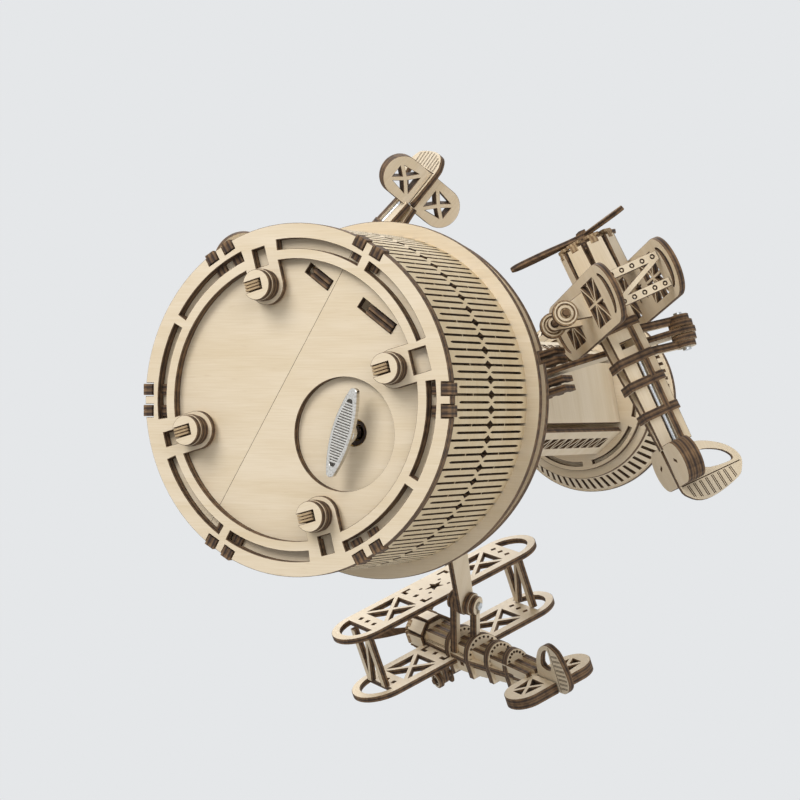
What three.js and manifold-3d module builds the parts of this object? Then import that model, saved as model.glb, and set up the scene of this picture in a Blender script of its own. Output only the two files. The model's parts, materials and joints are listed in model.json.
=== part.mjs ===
// A wooden wind-up music box: a plywood drum that holds the movement, a control tower on its deck,
// and three biplanes on arms that circle the tower while the music plays.
// Lengths are millimetres and +Z is up. The piece is drawn round the drum's axis, with zero height
// in the underside of the base plate, and is moved at the end so that the origin lies under the
// middle of its outline, level with the feet. +X runs out between arms 1 and 2.

import * as THREE from 'three';
import { mergeVertices } from 'three/addons/utils/BufferGeometryUtils.js';
import Module from 'manifold-3d';

const wasm = await Module();
wasm.setup();

// Sheet and clearances
const PLY = 2;
const SEAT_GAP = 0.3;
const RUN_GAP = 0.6;
const OVERRUN = 1;
const WELD_TOLERANCE = 0.0001;

// Base ring, its arc slots and the brackets that carry the feet
const BASE_RADIUS = 52;
const RING_WIDTH = 10.5;
const RING_SLOT_INSET = 4.5;
const RING_SLOT_WIDTH = 3;
const RING_SLOT_SHARES = [[0.09, 0.49], [0.53, 0.92]];
const FOOT_CIRCLE_RADIUS = 35;
const FOOT_ANGLES = [-15, 75, 165, 255];
const FOOT_RADIUS = 4.5;
const FOOT_HEIGHT = 6;
const FOOT_SLOT = { length: 6.4, width: 3.3, depth: 0.8, shift: 1.4, angle: -15 };
const PAD_RADIUS = 5.8;
const BRACKET_WIDTH = 11.5;
const BRACKET_WINDOW = { inset: 5.5, widths: [7.2, 4.4, 4.4, 4.4] };

// Base plate: two boards that meet in a straight seam
const SEAM_OFFSET = 6.9;
const SEAM_ANGLE = 121.4;
const SEAM_GAP = 0.3;
const KEY_WELL = { x: 15.5, y: 10, radius: 16.8 };
const TAB_SLOTS = [
  { x: 7.1, y: -36.2, length: 9.6 },
  { x: 26.5, y: -24.4, length: 13.8 },
];
const TAB_SLOT_ANGLE = 36;
const TAB_SLOT_WIDTH = 3.5;

// Clips that hook the inner frame over the rim of the base
const CLIP_ANGLES = [0, 60, 120, 180, 240, 300];
const CLIP_SPACING = 6.4;
const CLIP_WIDTH = 3.4;
const CLIP_HOOK = 2.6;
const CLIP_PROUD = 0.4;
const CLIP_INNER_RADIUS = 45;

// Drum wall, flange and deck
const WALL_OUTER_RADIUS = 51.4;
const WALL_TOP = 49.5;
const WALL_COLUMNS = 73;
const WALL_TURN = 3.2;
const SLIT_WIDTH = 0.75;
const DIAMOND_WIDTH = 2.3;
const DIAMOND_LENGTH = 2.8;
const SLIT_MARGIN = 2.2;
const LONG_SLIT_MARGIN = 0.9;
const FLANGE_RADIUS = 55.7;
const DECK_RADIUS = 54.2;
const DECK_SPACER = { outerRadius: 49.6, innerRadius: 44, height: 6 };
const DECK_NOTCH = { angle: -14, width: 4, depth: 1.4 };

// Centre post, drive sleeve and the gears inside the drum
const POST_RADIUS = 2;
const POST_INTO_HEAD = 4.25;
const SLEEVE_WALL = 1.5;
const SLEEVE_BOTTOM = 22;
const GEAR_BOTTOM = 24;
const GEAR_MODULE = 1;
const GEAR_TEETH = 28;
const PINION_TEETH = 12;
const TOOTH_DEPTH = 2.1;
const GEAR_BACKLASH = 0.35;

// Winding key and movement
const KEY_ANGLE = 28.4;
const KEY_BOW = { length: 27, thickness: 6.4, endWidth: 2.4, height: 2.6, bottom: -5.6, angle: 108 };
const KEY_COLLAR = { radius: 3.4, height: 2.4 };
const KEY_SHAFT_RADIUS = 2;
const ARBOR_HOLE_RADIUS = 4.1;
const BEDPLATE = { xMin: 5.5, xMax: 41, yMin: -20, yMax: 20.5, thickness: 1.5, cornerRadius: 2 };
const BARREL = { radius: 8.6, height: 12, bottomGap: 1.4, shaftRadius: 1.6 };
const CYLINDER = { x: 24, yMin: -17.5, yMax: -2.2, radius: 6.5, axisHeight: 9.2, shaftRadius: 1 };
const CYLINDER_BEARING = { length: 4, thickness: 1.2, overhang: 2.2 };
const COMB = { width: 14.5, toothLength: 8, thickness: 1, teeth: 12, blockLength: 5.4 };
const GOVERNOR = { x: 34, y: 9.5, fanWidth: 8, fanHeight: 5, fanThickness: 0.8, shaftRadius: 0.9 };
const GOVERNOR_FRAME = { width: 11, depth: 11, thickness: 1.4, height: 12 };

// Tower: a three-sided column with cut corners
const TOWER_TURN = -11;
const TOWER_WIDE_APOTHEM = 15.6;
const TOWER_NARROW_APOTHEM = 19.9;
const TOWER_CORNER_SLOT = 3;
const TOWER_FOOT_RADIUS = 23;
const LOWER_TOWER_TOP = 104;
const TRUSS_CELL = 6;
const TRUSS_BAND = 4.6;
const TRUSS_WEB = 1.2;
const TRUSS_END = 4;

// Turning hub and its arms
const HUB_BOTTOM = 108;
const HUB_RADIUS = 24;
const HUB_TOP_RADIUS = 20;
const HUB_BOSS_RADIUS = 7;
const ARM_HEIGHT = 8;
const ARM_ANGLES = [-17, 103, 223];
const CHEEK_INNER_RADIUS = 14;
const CHEEK_OUTER_RADIUS = 36;
const CHEEK_PITCH = 3.2;
const ARM_ROOT_RADIUS = 8.5;
const ARM_EYE_RADIUS = 4.4;
const PIVOT_PIN_RADIUS = 1.4;
const TOWER_BOTTOM_GAP = 1.4;

// Head of the tower
const HEAD_BOTTOM = 198.75;
const HEAD_DISC_RADIUS = 25.4;
const HEAD_RING_RADIUS = 28.4;
const HEAD_SLOT = { inset: 1.6, width: 1.4 };
const BAND_BOTTOM_RADIUS = 28.2;
const BAND_TOP_RADIUS = 32.8;
const BAND_HEIGHT = 7.8;
const BAND_SLOTS = 36;
const BAND_SLOT_SHARES = { width: 0.42, end: 0.14 };
const RIM_RADIUS = 33.4;
const ROOF_TOP = 224;
const ROOF_STEP_RADIUS = 22;
const LANTERN_RADIUS = 9;
const FINIAL_RADIUS = 1.5;

// Counts of facets
const ROUND = 60;
const DISC = 30;
const SMALL_ROUND = 14;
const PIN_ROUND = 8;

// Finishes
const WOOD = { color: 0xdcc49c, roughness: 0.72, metalness: 0 };
const WOOD_SHADE = { color: 0xc9ad82, roughness: 0.75, metalness: 0 };
const WOOD_BURNT = { color: 0x6b4a30, roughness: 0.8, metalness: 0 };
const STEEL = { color: 0xc8ccd0, roughness: 0.28, metalness: 1 };
const NICKEL = { color: 0xbfc1c3, roughness: 0.22, metalness: 1 };
const BRASS = { color: 0xc9a45c, roughness: 0.3, metalness: 1 };

const musicBox = new THREE.Group();
const part = new THREE.Group();
musicBox.add(part);
const half = (value) => value / 2;
const rad = THREE.MathUtils.degToRad;

// Points on an arc, from one angle to another in degrees
function arcPoints(radius, from, to, steps, cx = 0, cy = 0) {
  const points = [];
  for (let i = 0; i <= steps; i += 1) {
    const angle = rad(from + ((to - from) * i) / steps);
    points.push(new THREE.Vector2(cx + radius * Math.cos(angle), cy + radius * Math.sin(angle)));
  }
  return points;
}

// A closed circle as points, without the doubled last one
function circlePoints(radius, count, cx = 0, cy = 0) {
  return arcPoints(radius, 0, 360, count, cx, cy).slice(0, -1);
}

// A rectangle's corners
function boxPoints(xMin, xMax, yMin, yMax) {
  return [
    new THREE.Vector2(xMin, yMin),
    new THREE.Vector2(xMax, yMin),
    new THREE.Vector2(xMax, yMax),
    new THREE.Vector2(xMin, yMax),
  ];
}

// Turns flat points about the origin, then moves them
function movedPoints(points, angle, dx, dy) {
  const centre = new THREE.Vector2();
  const shift = new THREE.Vector2(dx, dy);
  return points.map((p) => p.clone().rotateAround(centre, rad(angle)).add(shift));
}

// Keeps only the positions and welds them, so that the solid is closed
function welded(geometry) {
  const bare = geometry.index ? geometry.toNonIndexed() : geometry.clone();
  bare.deleteAttribute('normal');
  bare.deleteAttribute('uv');
  return mergeVertices(bare, WELD_TOLERANCE);
}

// A solid slab of one outline, from z0 upwards
function slab(outline, thickness, z0) {
  const shape = new THREE.Shape(outline);
  const geometry = new THREE.ExtrudeGeometry(shape, { depth: thickness, bevelEnabled: false });
  geometry.translate(0, 0, z0);
  return welded(geometry);
}

// A flat board of one outline with its openings cut through, from z0 upwards
function board(outline, openings, thickness, z0 = 0) {
  const plate = slab(outline, thickness, z0);
  if (openings.length === 0) {
    return plate;
  }
  const cutters = openings.map(
    (points) => slab(points, thickness + OVERRUN + OVERRUN, z0 - OVERRUN),
  );
  return fused([plate], cutters);
}

// A board whose outline is drawn in X and Z, standing square to Y, from y0 towards +Y
function boardXZ(outline, openings, thickness, y0 = 0) {
  const geometry = board(outline, openings, thickness);
  geometry.rotateX(rad(90));
  geometry.translate(0, y0 + thickness, 0);
  return geometry;
}

// A board whose outline is drawn in Y and Z, standing square to X, from x0 towards +X
function boardYZ(outline, openings, thickness, x0 = 0) {
  const geometry = board(outline, openings, thickness);
  const turn = new THREE.Matrix4().makeBasis(
    new THREE.Vector3(0, 1, 0),
    new THREE.Vector3(0, 0, 1),
    new THREE.Vector3(1, 0, 0),
  );
  geometry.applyMatrix4(turn);
  geometry.translate(x0, 0, 0);
  return geometry;
}

// A box between two corners
function block(xMin, xMax, yMin, yMax, zMin, zMax) {
  const geometry = new THREE.BoxGeometry(xMax - xMin, yMax - yMin, zMax - zMin);
  geometry.translate(half(xMin + xMax), half(yMin + yMax), half(zMin + zMax));
  return welded(geometry);
}

// A solid of revolution about Z from [radius, height] pairs that start and end on the axis
function turned(profile, count) {
  const points = profile.map(([r, z]) => new THREE.Vector2(r, z));
  const geometry = new THREE.LatheGeometry(points, count);
  geometry.rotateX(rad(90));
  return welded(geometry);
}

// A ring of revolution about Z from a closed [radius, height] loop
function turnedRing(profile, count) {
  const points = [...profile, profile[0]].map(([r, z]) => new THREE.Vector2(r, z));
  const geometry = new THREE.LatheGeometry(points, count);
  geometry.rotateX(rad(90));
  return welded(geometry);
}

// A round bar along Z
function rod(radius, zMin, zMax, count) {
  return board(circlePoints(radius, count), [], zMax - zMin, zMin);
}

function toManifold(geometry) {
  const mesh = new wasm.Mesh({
    numProp: 3,
    vertProperties: new Float32Array(geometry.attributes.position.array),
    triVerts: new Uint32Array(geometry.index.array),
  });
  return new wasm.Manifold(mesh);
}

function fromManifold(solid) {
  const mesh = solid.getMesh();
  const geometry = new THREE.BufferGeometry();
  geometry.setAttribute('position', new THREE.BufferAttribute(mesh.vertProperties, 3));
  geometry.setIndex(new THREE.BufferAttribute(mesh.triVerts, 1));
  return geometry;
}

// Joins solids into one body and cuts others out of it
function fused(solids, cutters = []) {
  let body = toManifold(solids[0]);
  for (const solid of solids.slice(1)) {
    body = body.add(toManifold(solid));
  }
  for (const cutter of cutters) {
    body = body.subtract(toManifold(cutter));
  }
  return fromManifold(body);
}

function turnedCopy(geometry, angle) {
  return geometry.clone().rotateZ(rad(angle));
}

function addNode(parent, name, geometry, finish) {
  const mesh = new THREE.Mesh(geometry, new THREE.MeshStandardMaterial(finish));
  mesh.name = name;
  parent.add(mesh);
  return mesh;
}

// Base ring with its arc slots, rim notches and foot brackets
const keyDistance = half(GEAR_MODULE * (GEAR_TEETH + PINION_TEETH));
const keyX = keyDistance * Math.cos(rad(KEY_ANGLE));
const keyY = keyDistance * Math.sin(rad(KEY_ANGLE));
const ringInner = BASE_RADIUS - RING_WIDTH;

// The two hooks of each clip, as boxes for the clips themselves or as wider notches
function clipBoxes(innerRadius, outerRadius, zMin, zMax, clearance) {
  const boxes = [];
  for (const angle of CLIP_ANGLES) {
    for (const side of [-1, 1]) {
      const middle = half(side * CLIP_SPACING);
      const reach = half(CLIP_WIDTH) + clearance;
      const box = block(innerRadius, outerRadius, middle - reach, middle + reach, zMin, zMax);
      boxes.push(turnedCopy(box, angle));
    }
  }
  return boxes;
}

function baseRing() {
  const openings = [circlePoints(ringInner, DISC)];
  const quarter = 90;
  const slotOuter = BASE_RADIUS - RING_SLOT_INSET;
  const slotInner = slotOuter - RING_SLOT_WIDTH;
  for (const foot of FOOT_ANGLES) {
    for (const [startShare, endShare] of RING_SLOT_SHARES) {
      const from = foot + quarter * startShare;
      const to = foot + quarter * endShare;
      const steps = 4;
      openings.push([
        ...arcPoints(slotOuter, from, to, steps),
        ...arcPoints(slotInner, to, from, steps),
      ]);
    }
  }
  const solids = [board(circlePoints(BASE_RADIUS, ROUND), openings, PLY, -PLY)];
  const cutters = [];
  FOOT_ANGLES.forEach((angle, index) => {
    const reach = block(
      FOOT_CIRCLE_RADIUS, ringInner + half(RING_SLOT_INSET),
      -half(BRACKET_WIDTH), half(BRACKET_WIDTH), -PLY, 0,
    );
    const pad = board(circlePoints(PAD_RADIUS, SMALL_ROUND, FOOT_CIRCLE_RADIUS, 0), [], PLY, -PLY);
    const windowReach = half(BRACKET_WINDOW.widths[index]);
    const opening = block(
      FOOT_CIRCLE_RADIUS + PAD_RADIUS, BASE_RADIUS - BRACKET_WINDOW.inset,
      -windowReach, windowReach, -PLY - OVERRUN, OVERRUN,
    );
    solids.push(turnedCopy(reach, angle), turnedCopy(pad, angle));
    cutters.push(turnedCopy(opening, angle));
  });
  const hookInner = BASE_RADIUS - CLIP_HOOK - SEAT_GAP;
  cutters.push(...clipBoxes(hookInner, BASE_RADIUS + OVERRUN, -PLY - OVERRUN, OVERRUN, SEAT_GAP));
  return fused(solids, cutters);
}
addNode(part, 'base_ring', baseRing(), WOOD);

// Feet: short posts under the brackets, each with the slot of its tenon
FOOT_ANGLES.forEach((angle, index) => {
  const bottom = -PLY - FOOT_HEIGHT;
  const post = rod(FOOT_RADIUS, bottom, -PLY, SMALL_ROUND);
  const slot = block(
    -half(FOOT_SLOT.length) - FOOT_SLOT.shift, half(FOOT_SLOT.length) - FOOT_SLOT.shift,
    -half(FOOT_SLOT.width), half(FOOT_SLOT.width),
    bottom - OVERRUN, bottom + FOOT_SLOT.depth,
  );
  const foot = addNode(part, `foot_${index + 1}`, fused([post], [slot]), WOOD);
  foot.position.set(
    FOOT_CIRCLE_RADIUS * Math.cos(rad(angle)),
    FOOT_CIRCLE_RADIUS * Math.sin(rad(angle)),
    0,
  );
  foot.rotation.z = rad(FOOT_SLOT.angle);
});

// Base plate, cut by the key well, the tab slots and the clip slots, and split along the seam
function basePlateCutters() {
  const well = rod(KEY_WELL.radius, -OVERRUN, PLY + OVERRUN, ROUND / 2);
  well.translate(KEY_WELL.x, KEY_WELL.y, 0);
  const cutters = [well];
  for (const slot of TAB_SLOTS) {
    const reach = half(slot.length);
    const depth = half(TAB_SLOT_WIDTH);
    const opening = turnedCopy(
      block(-reach, reach, -depth, depth, -OVERRUN, PLY + OVERRUN), TAB_SLOT_ANGLE,
    );
    opening.translate(slot.x, slot.y, 0);
    cutters.push(opening);
  }
  cutters.push(...clipBoxes(
    CLIP_INNER_RADIUS - SEAT_GAP, BASE_RADIUS + OVERRUN, -OVERRUN, PLY + OVERRUN, SEAT_GAP,
  ));
  return cutters;
}

// Half space on one side of the seam, as a big box to cut away; side is 1 or -1
function seamCutter(side) {
  const far = BASE_RADIUS + OVERRUN;
  const near = half(SEAM_GAP);
  const box = side > 0
    ? block(-far, far, -near, far + far, -OVERRUN, PLY + OVERRUN)
    : block(-far, far, -far - far, near, -OVERRUN, PLY + OVERRUN);
  const moved = turnedCopy(box, SEAM_ANGLE);
  const normal = rad(SEAM_ANGLE + 90);
  moved.translate(SEAM_OFFSET * Math.cos(normal), SEAM_OFFSET * Math.sin(normal), 0);
  return moved;
}

const plateDisc = board(circlePoints(BASE_RADIUS, ROUND), [], PLY);
const plateCutters = basePlateCutters();
addNode(part, 'base_plate', fused([plateDisc], [...plateCutters, seamCutter(1)]), WOOD);
addNode(part, 'base_plate_side_board', fused([plateDisc], [...plateCutters, seamCutter(-1)]), WOOD);

// Inner frame: the board behind the key well, with the rim clips and the two-ply tabs
function innerFrame() {
  const frameRadius = WALL_OUTER_RADIUS - PLY - SEAT_GAP;
  const hole = rod(ARBOR_HOLE_RADIUS, -OVERRUN, PLY + PLY + OVERRUN, SMALL_ROUND);
  hole.translate(keyX, keyY, 0);
  const solids = [board(circlePoints(frameRadius, ROUND), [], PLY, PLY)];
  const overlap = half(PLY);
  const outer = BASE_RADIUS + CLIP_PROUD;
  const hookInner = BASE_RADIUS - CLIP_HOOK;
  const hookOutline = [
    [CLIP_INNER_RADIUS, 0], [hookInner, 0], [hookInner, -PLY - CLIP_PROUD],
    [outer, -PLY - CLIP_PROUD], [outer, PLY - SEAT_GAP], [frameRadius - SEAT_GAP, PLY - SEAT_GAP],
    [frameRadius - SEAT_GAP, PLY + overlap], [CLIP_INNER_RADIUS, PLY + overlap],
  ].map(([x, z]) => new THREE.Vector2(x, z));
  for (const angle of CLIP_ANGLES) {
    for (const side of [-1, 1]) {
      const y0 = half(side * CLIP_SPACING - CLIP_WIDTH);
      solids.push(turnedCopy(boardXZ(hookOutline, [], CLIP_WIDTH, y0), angle));
    }
  }
  for (const slot of TAB_SLOTS) {
    const reach = half(slot.length) - SEAT_GAP;
    for (const side of [-1, 1]) {
      const near = half(SEAT_GAP);
      const far = half(TAB_SLOT_WIDTH) - SEAT_GAP;
      const yMin = side > 0 ? near : -far;
      const tab = turnedCopy(
        block(-reach, reach, yMin, yMin + far - near, CLIP_PROUD, PLY + overlap), TAB_SLOT_ANGLE,
      );
      tab.translate(slot.x, slot.y, 0);
      solids.push(tab);
    }
  }
  return fused(solids, [hole]);
}
addNode(part, 'inner_frame', innerFrame(), WOOD_SHADE);

// Pattern of slits bent round a cylinder or cone. Every column of the pattern is one strip of
// cells; the strips share their edges, so the band closes on itself.
function slitBand({ columns, radiusAt, thickness, zMin, zMax, cells }) {
  const positions = [];
  const pitch = (Math.PI * 2) / columns;
  const place = (angle, z, depth) => {
    const radius = radiusAt(z) - depth;
    return [radius * Math.cos(angle), radius * Math.sin(angle), z];
  };
  const push = (...corners) => corners.forEach((corner) => positions.push(...corner));
  for (let column = 0; column < columns; column += 1) {
    for (const cell of cells) {
      const from = cell.fromShare;
      const to = cell.toShare;
      const middle = half(from + to);
      const start = pitch * (column + from);
      const end = pitch * (column + to);
      const toAngle = (x) => pitch * (column + middle) + x;
      const outline = [
        new THREE.Vector2(start - toAngle(0), zMin),
        new THREE.Vector2(end - toAngle(0), zMin),
        new THREE.Vector2(end - toAngle(0), zMax),
        new THREE.Vector2(start - toAngle(0), zMax),
      ];
      const holes = cell.holes.map((hole) => hole.map(
        ([x, z]) => new THREE.Vector2(x / radiusAt(half(zMin + zMax)), z),
      ));
      const all = [...outline, ...holes.flat()];
      for (const [a, b, c] of THREE.ShapeUtils.triangulateShape(outline, holes)) {
        const [p, q, r] = [all[a], all[b], all[c]];
        push(place(toAngle(p.x), p.y, 0), place(toAngle(q.x), q.y, 0), place(toAngle(r.x), r.y, 0));
        push(
          place(toAngle(p.x), p.y, thickness),
          place(toAngle(r.x), r.y, thickness),
          place(toAngle(q.x), q.y, thickness),
        );
      }
      const wall = (p, q) => {
        const outerP = place(toAngle(p.x), p.y, 0);
        const outerQ = place(toAngle(q.x), q.y, 0);
        const innerP = place(toAngle(p.x), p.y, thickness);
        const innerQ = place(toAngle(q.x), q.y, thickness);
        push(outerP, innerP, outerQ);
        push(outerQ, innerP, innerQ);
      };
      wall(outline[0], outline[1]);
      wall(outline[2], outline[3]);
      for (const hole of holes) {
        hole.forEach((point, index) => wall(hole[(index + 1) % hole.length], point));
      }
    }
  }
  const geometry = new THREE.BufferGeometry();
  geometry.setAttribute('position', new THREE.BufferAttribute(new Float32Array(positions), 3));
  return mergeVertices(geometry, WELD_TOLERANCE);
}

// A slit that tapers to both ends, as a hole with its points anticlockwise
function taperedSlit(width, zMin, zMax) {
  const middle = half(zMin + zMax);
  return [[0, zMin], [half(width), middle], [0, zMax], [-half(width), middle]];
}

// Drum wall: slits with a diamond at mid-height, and a plain slit between each two of them
function drumWall() {
  const zMin = PLY;
  const zMax = WALL_TOP;
  const middle = half(zMin + zMax);
  const diamond = [
    [0, zMin + LONG_SLIT_MARGIN],
    [half(SLIT_WIDTH), middle - half(DIAMOND_LENGTH)],
    [half(DIAMOND_WIDTH), middle],
    [half(SLIT_WIDTH), middle + half(DIAMOND_LENGTH)],
    [0, zMax - LONG_SLIT_MARGIN],
    [-half(SLIT_WIDTH), middle + half(DIAMOND_LENGTH)],
    [-half(DIAMOND_WIDTH), middle],
    [-half(SLIT_WIDTH), middle - half(DIAMOND_LENGTH)],
  ];
  const slit = taperedSlit(SLIT_WIDTH, zMin + SLIT_MARGIN, zMax - SLIT_MARGIN);
  const pitch = (Math.PI * WALL_OUTER_RADIUS * 2) / WALL_COLUMNS;
  const cellShares = { from: -0.35, to: 0.65 };
  const middleShare = half(cellShares.from + cellShares.to);
  const placed = (points, share) => points.map(([x, z]) => [x + pitch * (share - middleShare), z]);
  const band = slitBand({
    columns: WALL_COLUMNS,
    radiusAt: () => WALL_OUTER_RADIUS,
    thickness: PLY,
    zMin,
    zMax,
    cells: [{
      fromShare: cellShares.from, toShare: cellShares.to,
      holes: [placed(diamond, 0), placed(slit, 1 / 2)],
    }],
  });
  return band.rotateZ(rad(WALL_TURN));
}
addNode(part, 'drum_wall', drumWall(), WOOD);

// Flange on the wall and the stepped deck above it
const sleeveOuter = POST_RADIUS + RUN_GAP + SLEEVE_WALL;
const deckHole = circlePoints(sleeveOuter + RUN_GAP, SMALL_ROUND);
const flangeTop = WALL_TOP + PLY;
const deckBottom = flangeTop + DECK_SPACER.height;
const deckTop = deckBottom + PLY;
addNode(
  part, 'drum_flange', board(circlePoints(FLANGE_RADIUS, ROUND), [deckHole], PLY, WALL_TOP), WOOD,
);

function upperDeck() {
  const spacer = board(
    circlePoints(DECK_SPACER.outerRadius, DISC),
    [circlePoints(DECK_SPACER.innerRadius, DISC)],
    DECK_SPACER.height + half(PLY), flangeTop,
  );
  const deck = board(circlePoints(DECK_RADIUS, ROUND), [deckHole], PLY, deckBottom);
  const notch = turnedCopy(block(
    DECK_RADIUS - DECK_NOTCH.depth, DECK_RADIUS + OVERRUN,
    -half(DECK_NOTCH.width), half(DECK_NOTCH.width), deckBottom - OVERRUN, deckTop + OVERRUN,
  ), DECK_NOTCH.angle);
  return fused([deck, spacer], [notch]);
}
addNode(part, 'upper_deck', upperDeck(), WOOD);

// Centre post: a steel rod from the inner frame to the head, with a collar under the tower
const hubTop = HUB_BOTTOM + PLY + ARM_HEIGHT + RUN_GAP + PLY;
const towerBottom = hubTop + TOWER_BOTTOM_GAP;
const postTop = HEAD_BOTTOM + POST_INTO_HEAD;
function centrePost() {
  const bar = rod(POST_RADIUS, PLY + PLY, postTop, PIN_ROUND);
  const collar = rod(POST_RADIUS + PLY, towerBottom - half(TOWER_BOTTOM_GAP), towerBottom, PIN_ROUND);
  return fused([bar, collar]);
}
addNode(part, 'centre_post', centrePost(), STEEL);

// Gear outline with straight-sided teeth, as points round the pitch circle
function gearPoints(teeth, rootDrop) {
  const pitchRadius = half(GEAR_MODULE * teeth);
  const tip = pitchRadius + half(TOOTH_DEPTH) - rootDrop;
  const root = pitchRadius - half(TOOTH_DEPTH) - rootDrop;
  const step = 360 / teeth;
  const toothShares = { root: 0.29, tip: 0.13 };
  const points = [];
  for (let i = 0; i < teeth; i += 1) {
    const middle = i * step;
    points.push(...arcPoints(root, middle - step * toothShares.root, middle, 1).slice(0, 1));
    points.push(...arcPoints(tip, middle - step * toothShares.tip, middle + step * toothShares.tip, 1));
    points.push(...arcPoints(root, middle, middle + step * toothShares.root, 1).slice(1));
  }
  return points;
}

// Drive sleeve with the big wooden gear, turning on the centre post
function driveSleeve() {
  const bore = circlePoints(POST_RADIUS + RUN_GAP, PIN_ROUND);
  const tube = board(
    circlePoints(sleeveOuter, PIN_ROUND), [bore], HUB_BOTTOM - SLEEVE_BOTTOM, SLEEVE_BOTTOM,
  );
  const gear = board(gearPoints(GEAR_TEETH, GEAR_BACKLASH), [bore], PLY, GEAR_BOTTOM);
  gear.rotateZ(rad(KEY_ANGLE));
  return fused([tube, gear]);
}

// Movement on its bedplate, under the gears
const bedTop = PLY + PLY + BEDPLATE.thickness;
function bedplate() {
  const { xMin, xMax, yMin, yMax, cornerRadius: r } = BEDPLATE;
  const steps = 3;
  const outline = [
    ...arcPoints(r, 180, 270, steps, xMin + r, yMin + r),
    ...arcPoints(r, 270, 360, steps, xMax - r, yMin + r),
    ...arcPoints(r, 0, 90, steps, xMax - r, yMax - r),
    ...arcPoints(r, 90, 180, steps, xMin + r, yMax - r),
  ];
  const hole = circlePoints(ARBOR_HOLE_RADIUS, PIN_ROUND, keyX, keyY);
  const plate = board(outline, [hole], BEDPLATE.thickness, PLY + PLY);
  const solids = [plate];
  const bearingTop = bedTop + CYLINDER.axisHeight + CYLINDER_BEARING.overhang;
  const cutters = [];
  const gap = SEAT_GAP;
  for (const y of [CYLINDER.yMin - gap - CYLINDER_BEARING.thickness, CYLINDER.yMax + gap]) {
    solids.push(block(
      CYLINDER.x - half(CYLINDER_BEARING.length), CYLINDER.x + half(CYLINDER_BEARING.length),
      y, y + CYLINDER_BEARING.thickness, bedTop - half(BEDPLATE.thickness), bearingTop,
    ));
  }
  const bore = rod(
    CYLINDER.shaftRadius + gap, CYLINDER.yMin - CYLINDER.radius, CYLINDER.yMax + CYLINDER.radius,
    PIN_ROUND,
  );
  bore.rotateX(rad(-90));
  bore.translate(CYLINDER.x, 0, bedTop + CYLINDER.axisHeight);
  cutters.push(bore);
  const frame = GOVERNOR_FRAME;
  const post = frame.thickness;
  const left = GOVERNOR.x - half(frame.width);
  const right = GOVERNOR.x + half(frame.width);
  const front = GOVERNOR.y - half(post + post);
  const back = GOVERNOR.y + half(post + post);
  const root = bedTop - half(BEDPLATE.thickness);
  solids.push(
    block(left, left + post, front, back, root, bedTop + frame.height),
    block(right - post, right, front, back, root, bedTop + frame.height),
    block(left, right, front, back, bedTop + frame.height - post, bedTop + frame.height),
  );
  const pivot = rod(GOVERNOR.shaftRadius + gap, PLY + PLY, bedTop + frame.height + OVERRUN, PIN_ROUND);
  pivot.translate(GOVERNOR.x, GOVERNOR.y, bedTop - PLY);
  cutters.push(pivot);
  return fused(solids, cutters);
}
addNode(part, 'movement_bedplate', bedplate(), BRASS);

// Spring barrel with the wooden pinion that drives the big gear
const barrelBottom = bedTop + BARREL.bottomGap;
const barrelTop = barrelBottom + BARREL.height;
function springBarrel() {
  const drum = rod(BARREL.radius, barrelBottom, barrelTop, SMALL_ROUND);
  const shaft = rod(BARREL.shaftRadius, barrelTop - OVERRUN, GEAR_BOTTOM + PLY, PIN_ROUND);
  const pinion = board(gearPoints(PINION_TEETH, GEAR_BACKLASH), [], PLY, GEAR_BOTTOM);
  const facing = Math.PI + rad(KEY_ANGLE) - Math.PI / PINION_TEETH;
  pinion.rotateZ(facing);
  const keyBore = rod(KEY_SHAFT_RADIUS + SEAT_GAP, barrelBottom - OVERRUN, barrelTop - PLY, PIN_ROUND);
  return fused([drum, shaft, pinion], [keyBore]);
}
const barrelMesh = addNode(part, 'spring_barrel', springBarrel(), BRASS);
barrelMesh.position.set(keyX, keyY, 0);

// Winding key: a lens-shaped bow, a collar and the shaft that reaches into the barrel
function windingKey() {
  const span = half(KEY_BOW.length);
  const belly = half(KEY_BOW.thickness);
  const rise = belly - half(KEY_BOW.endWidth);
  const bowRadius = half((span * span) / rise + rise);
  const sweep = THREE.MathUtils.radToDeg(Math.asin(span / bowRadius));
  const steps = 8;
  const side = arcPoints(bowRadius, 90 - sweep, 90 + sweep, steps, 0, belly - bowRadius);
  const outline = [...side, ...side.map((point) => point.clone().negate())];
  const bow = board(outline, [], KEY_BOW.height, KEY_BOW.bottom);
  bow.rotateZ(rad(KEY_BOW.angle));
  const collarBottom = KEY_BOW.bottom + KEY_BOW.height - half(PLY);
  const collar = rod(KEY_COLLAR.radius, collarBottom, collarBottom + KEY_COLLAR.height, SMALL_ROUND);
  const shaft = rod(KEY_SHAFT_RADIUS, collarBottom, barrelTop - PLY - SEAT_GAP, PIN_ROUND);
  return fused([bow, collar, shaft]);
}
const keyMesh = addNode(part, 'winding_key', windingKey(), NICKEL);
keyMesh.position.set(keyX, keyY, 0);

// Tune cylinder, comb and governor
function tuneCylinder() {
  const tube = rod(CYLINDER.radius, CYLINDER.yMin, CYLINDER.yMax, SMALL_ROUND);
  const overhang = CYLINDER_BEARING.thickness + SEAT_GAP;
  const shaft = rod(
    CYLINDER.shaftRadius, CYLINDER.yMin - overhang, CYLINDER.yMax + overhang, PIN_ROUND,
  );
  return fused([tube, shaft]).rotateX(rad(-90));
}
const cylinderMesh = addNode(part, 'tune_cylinder', tuneCylinder(), BRASS);
cylinderMesh.position.set(CYLINDER.x, 0, bedTop + CYLINDER.axisHeight);

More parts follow.
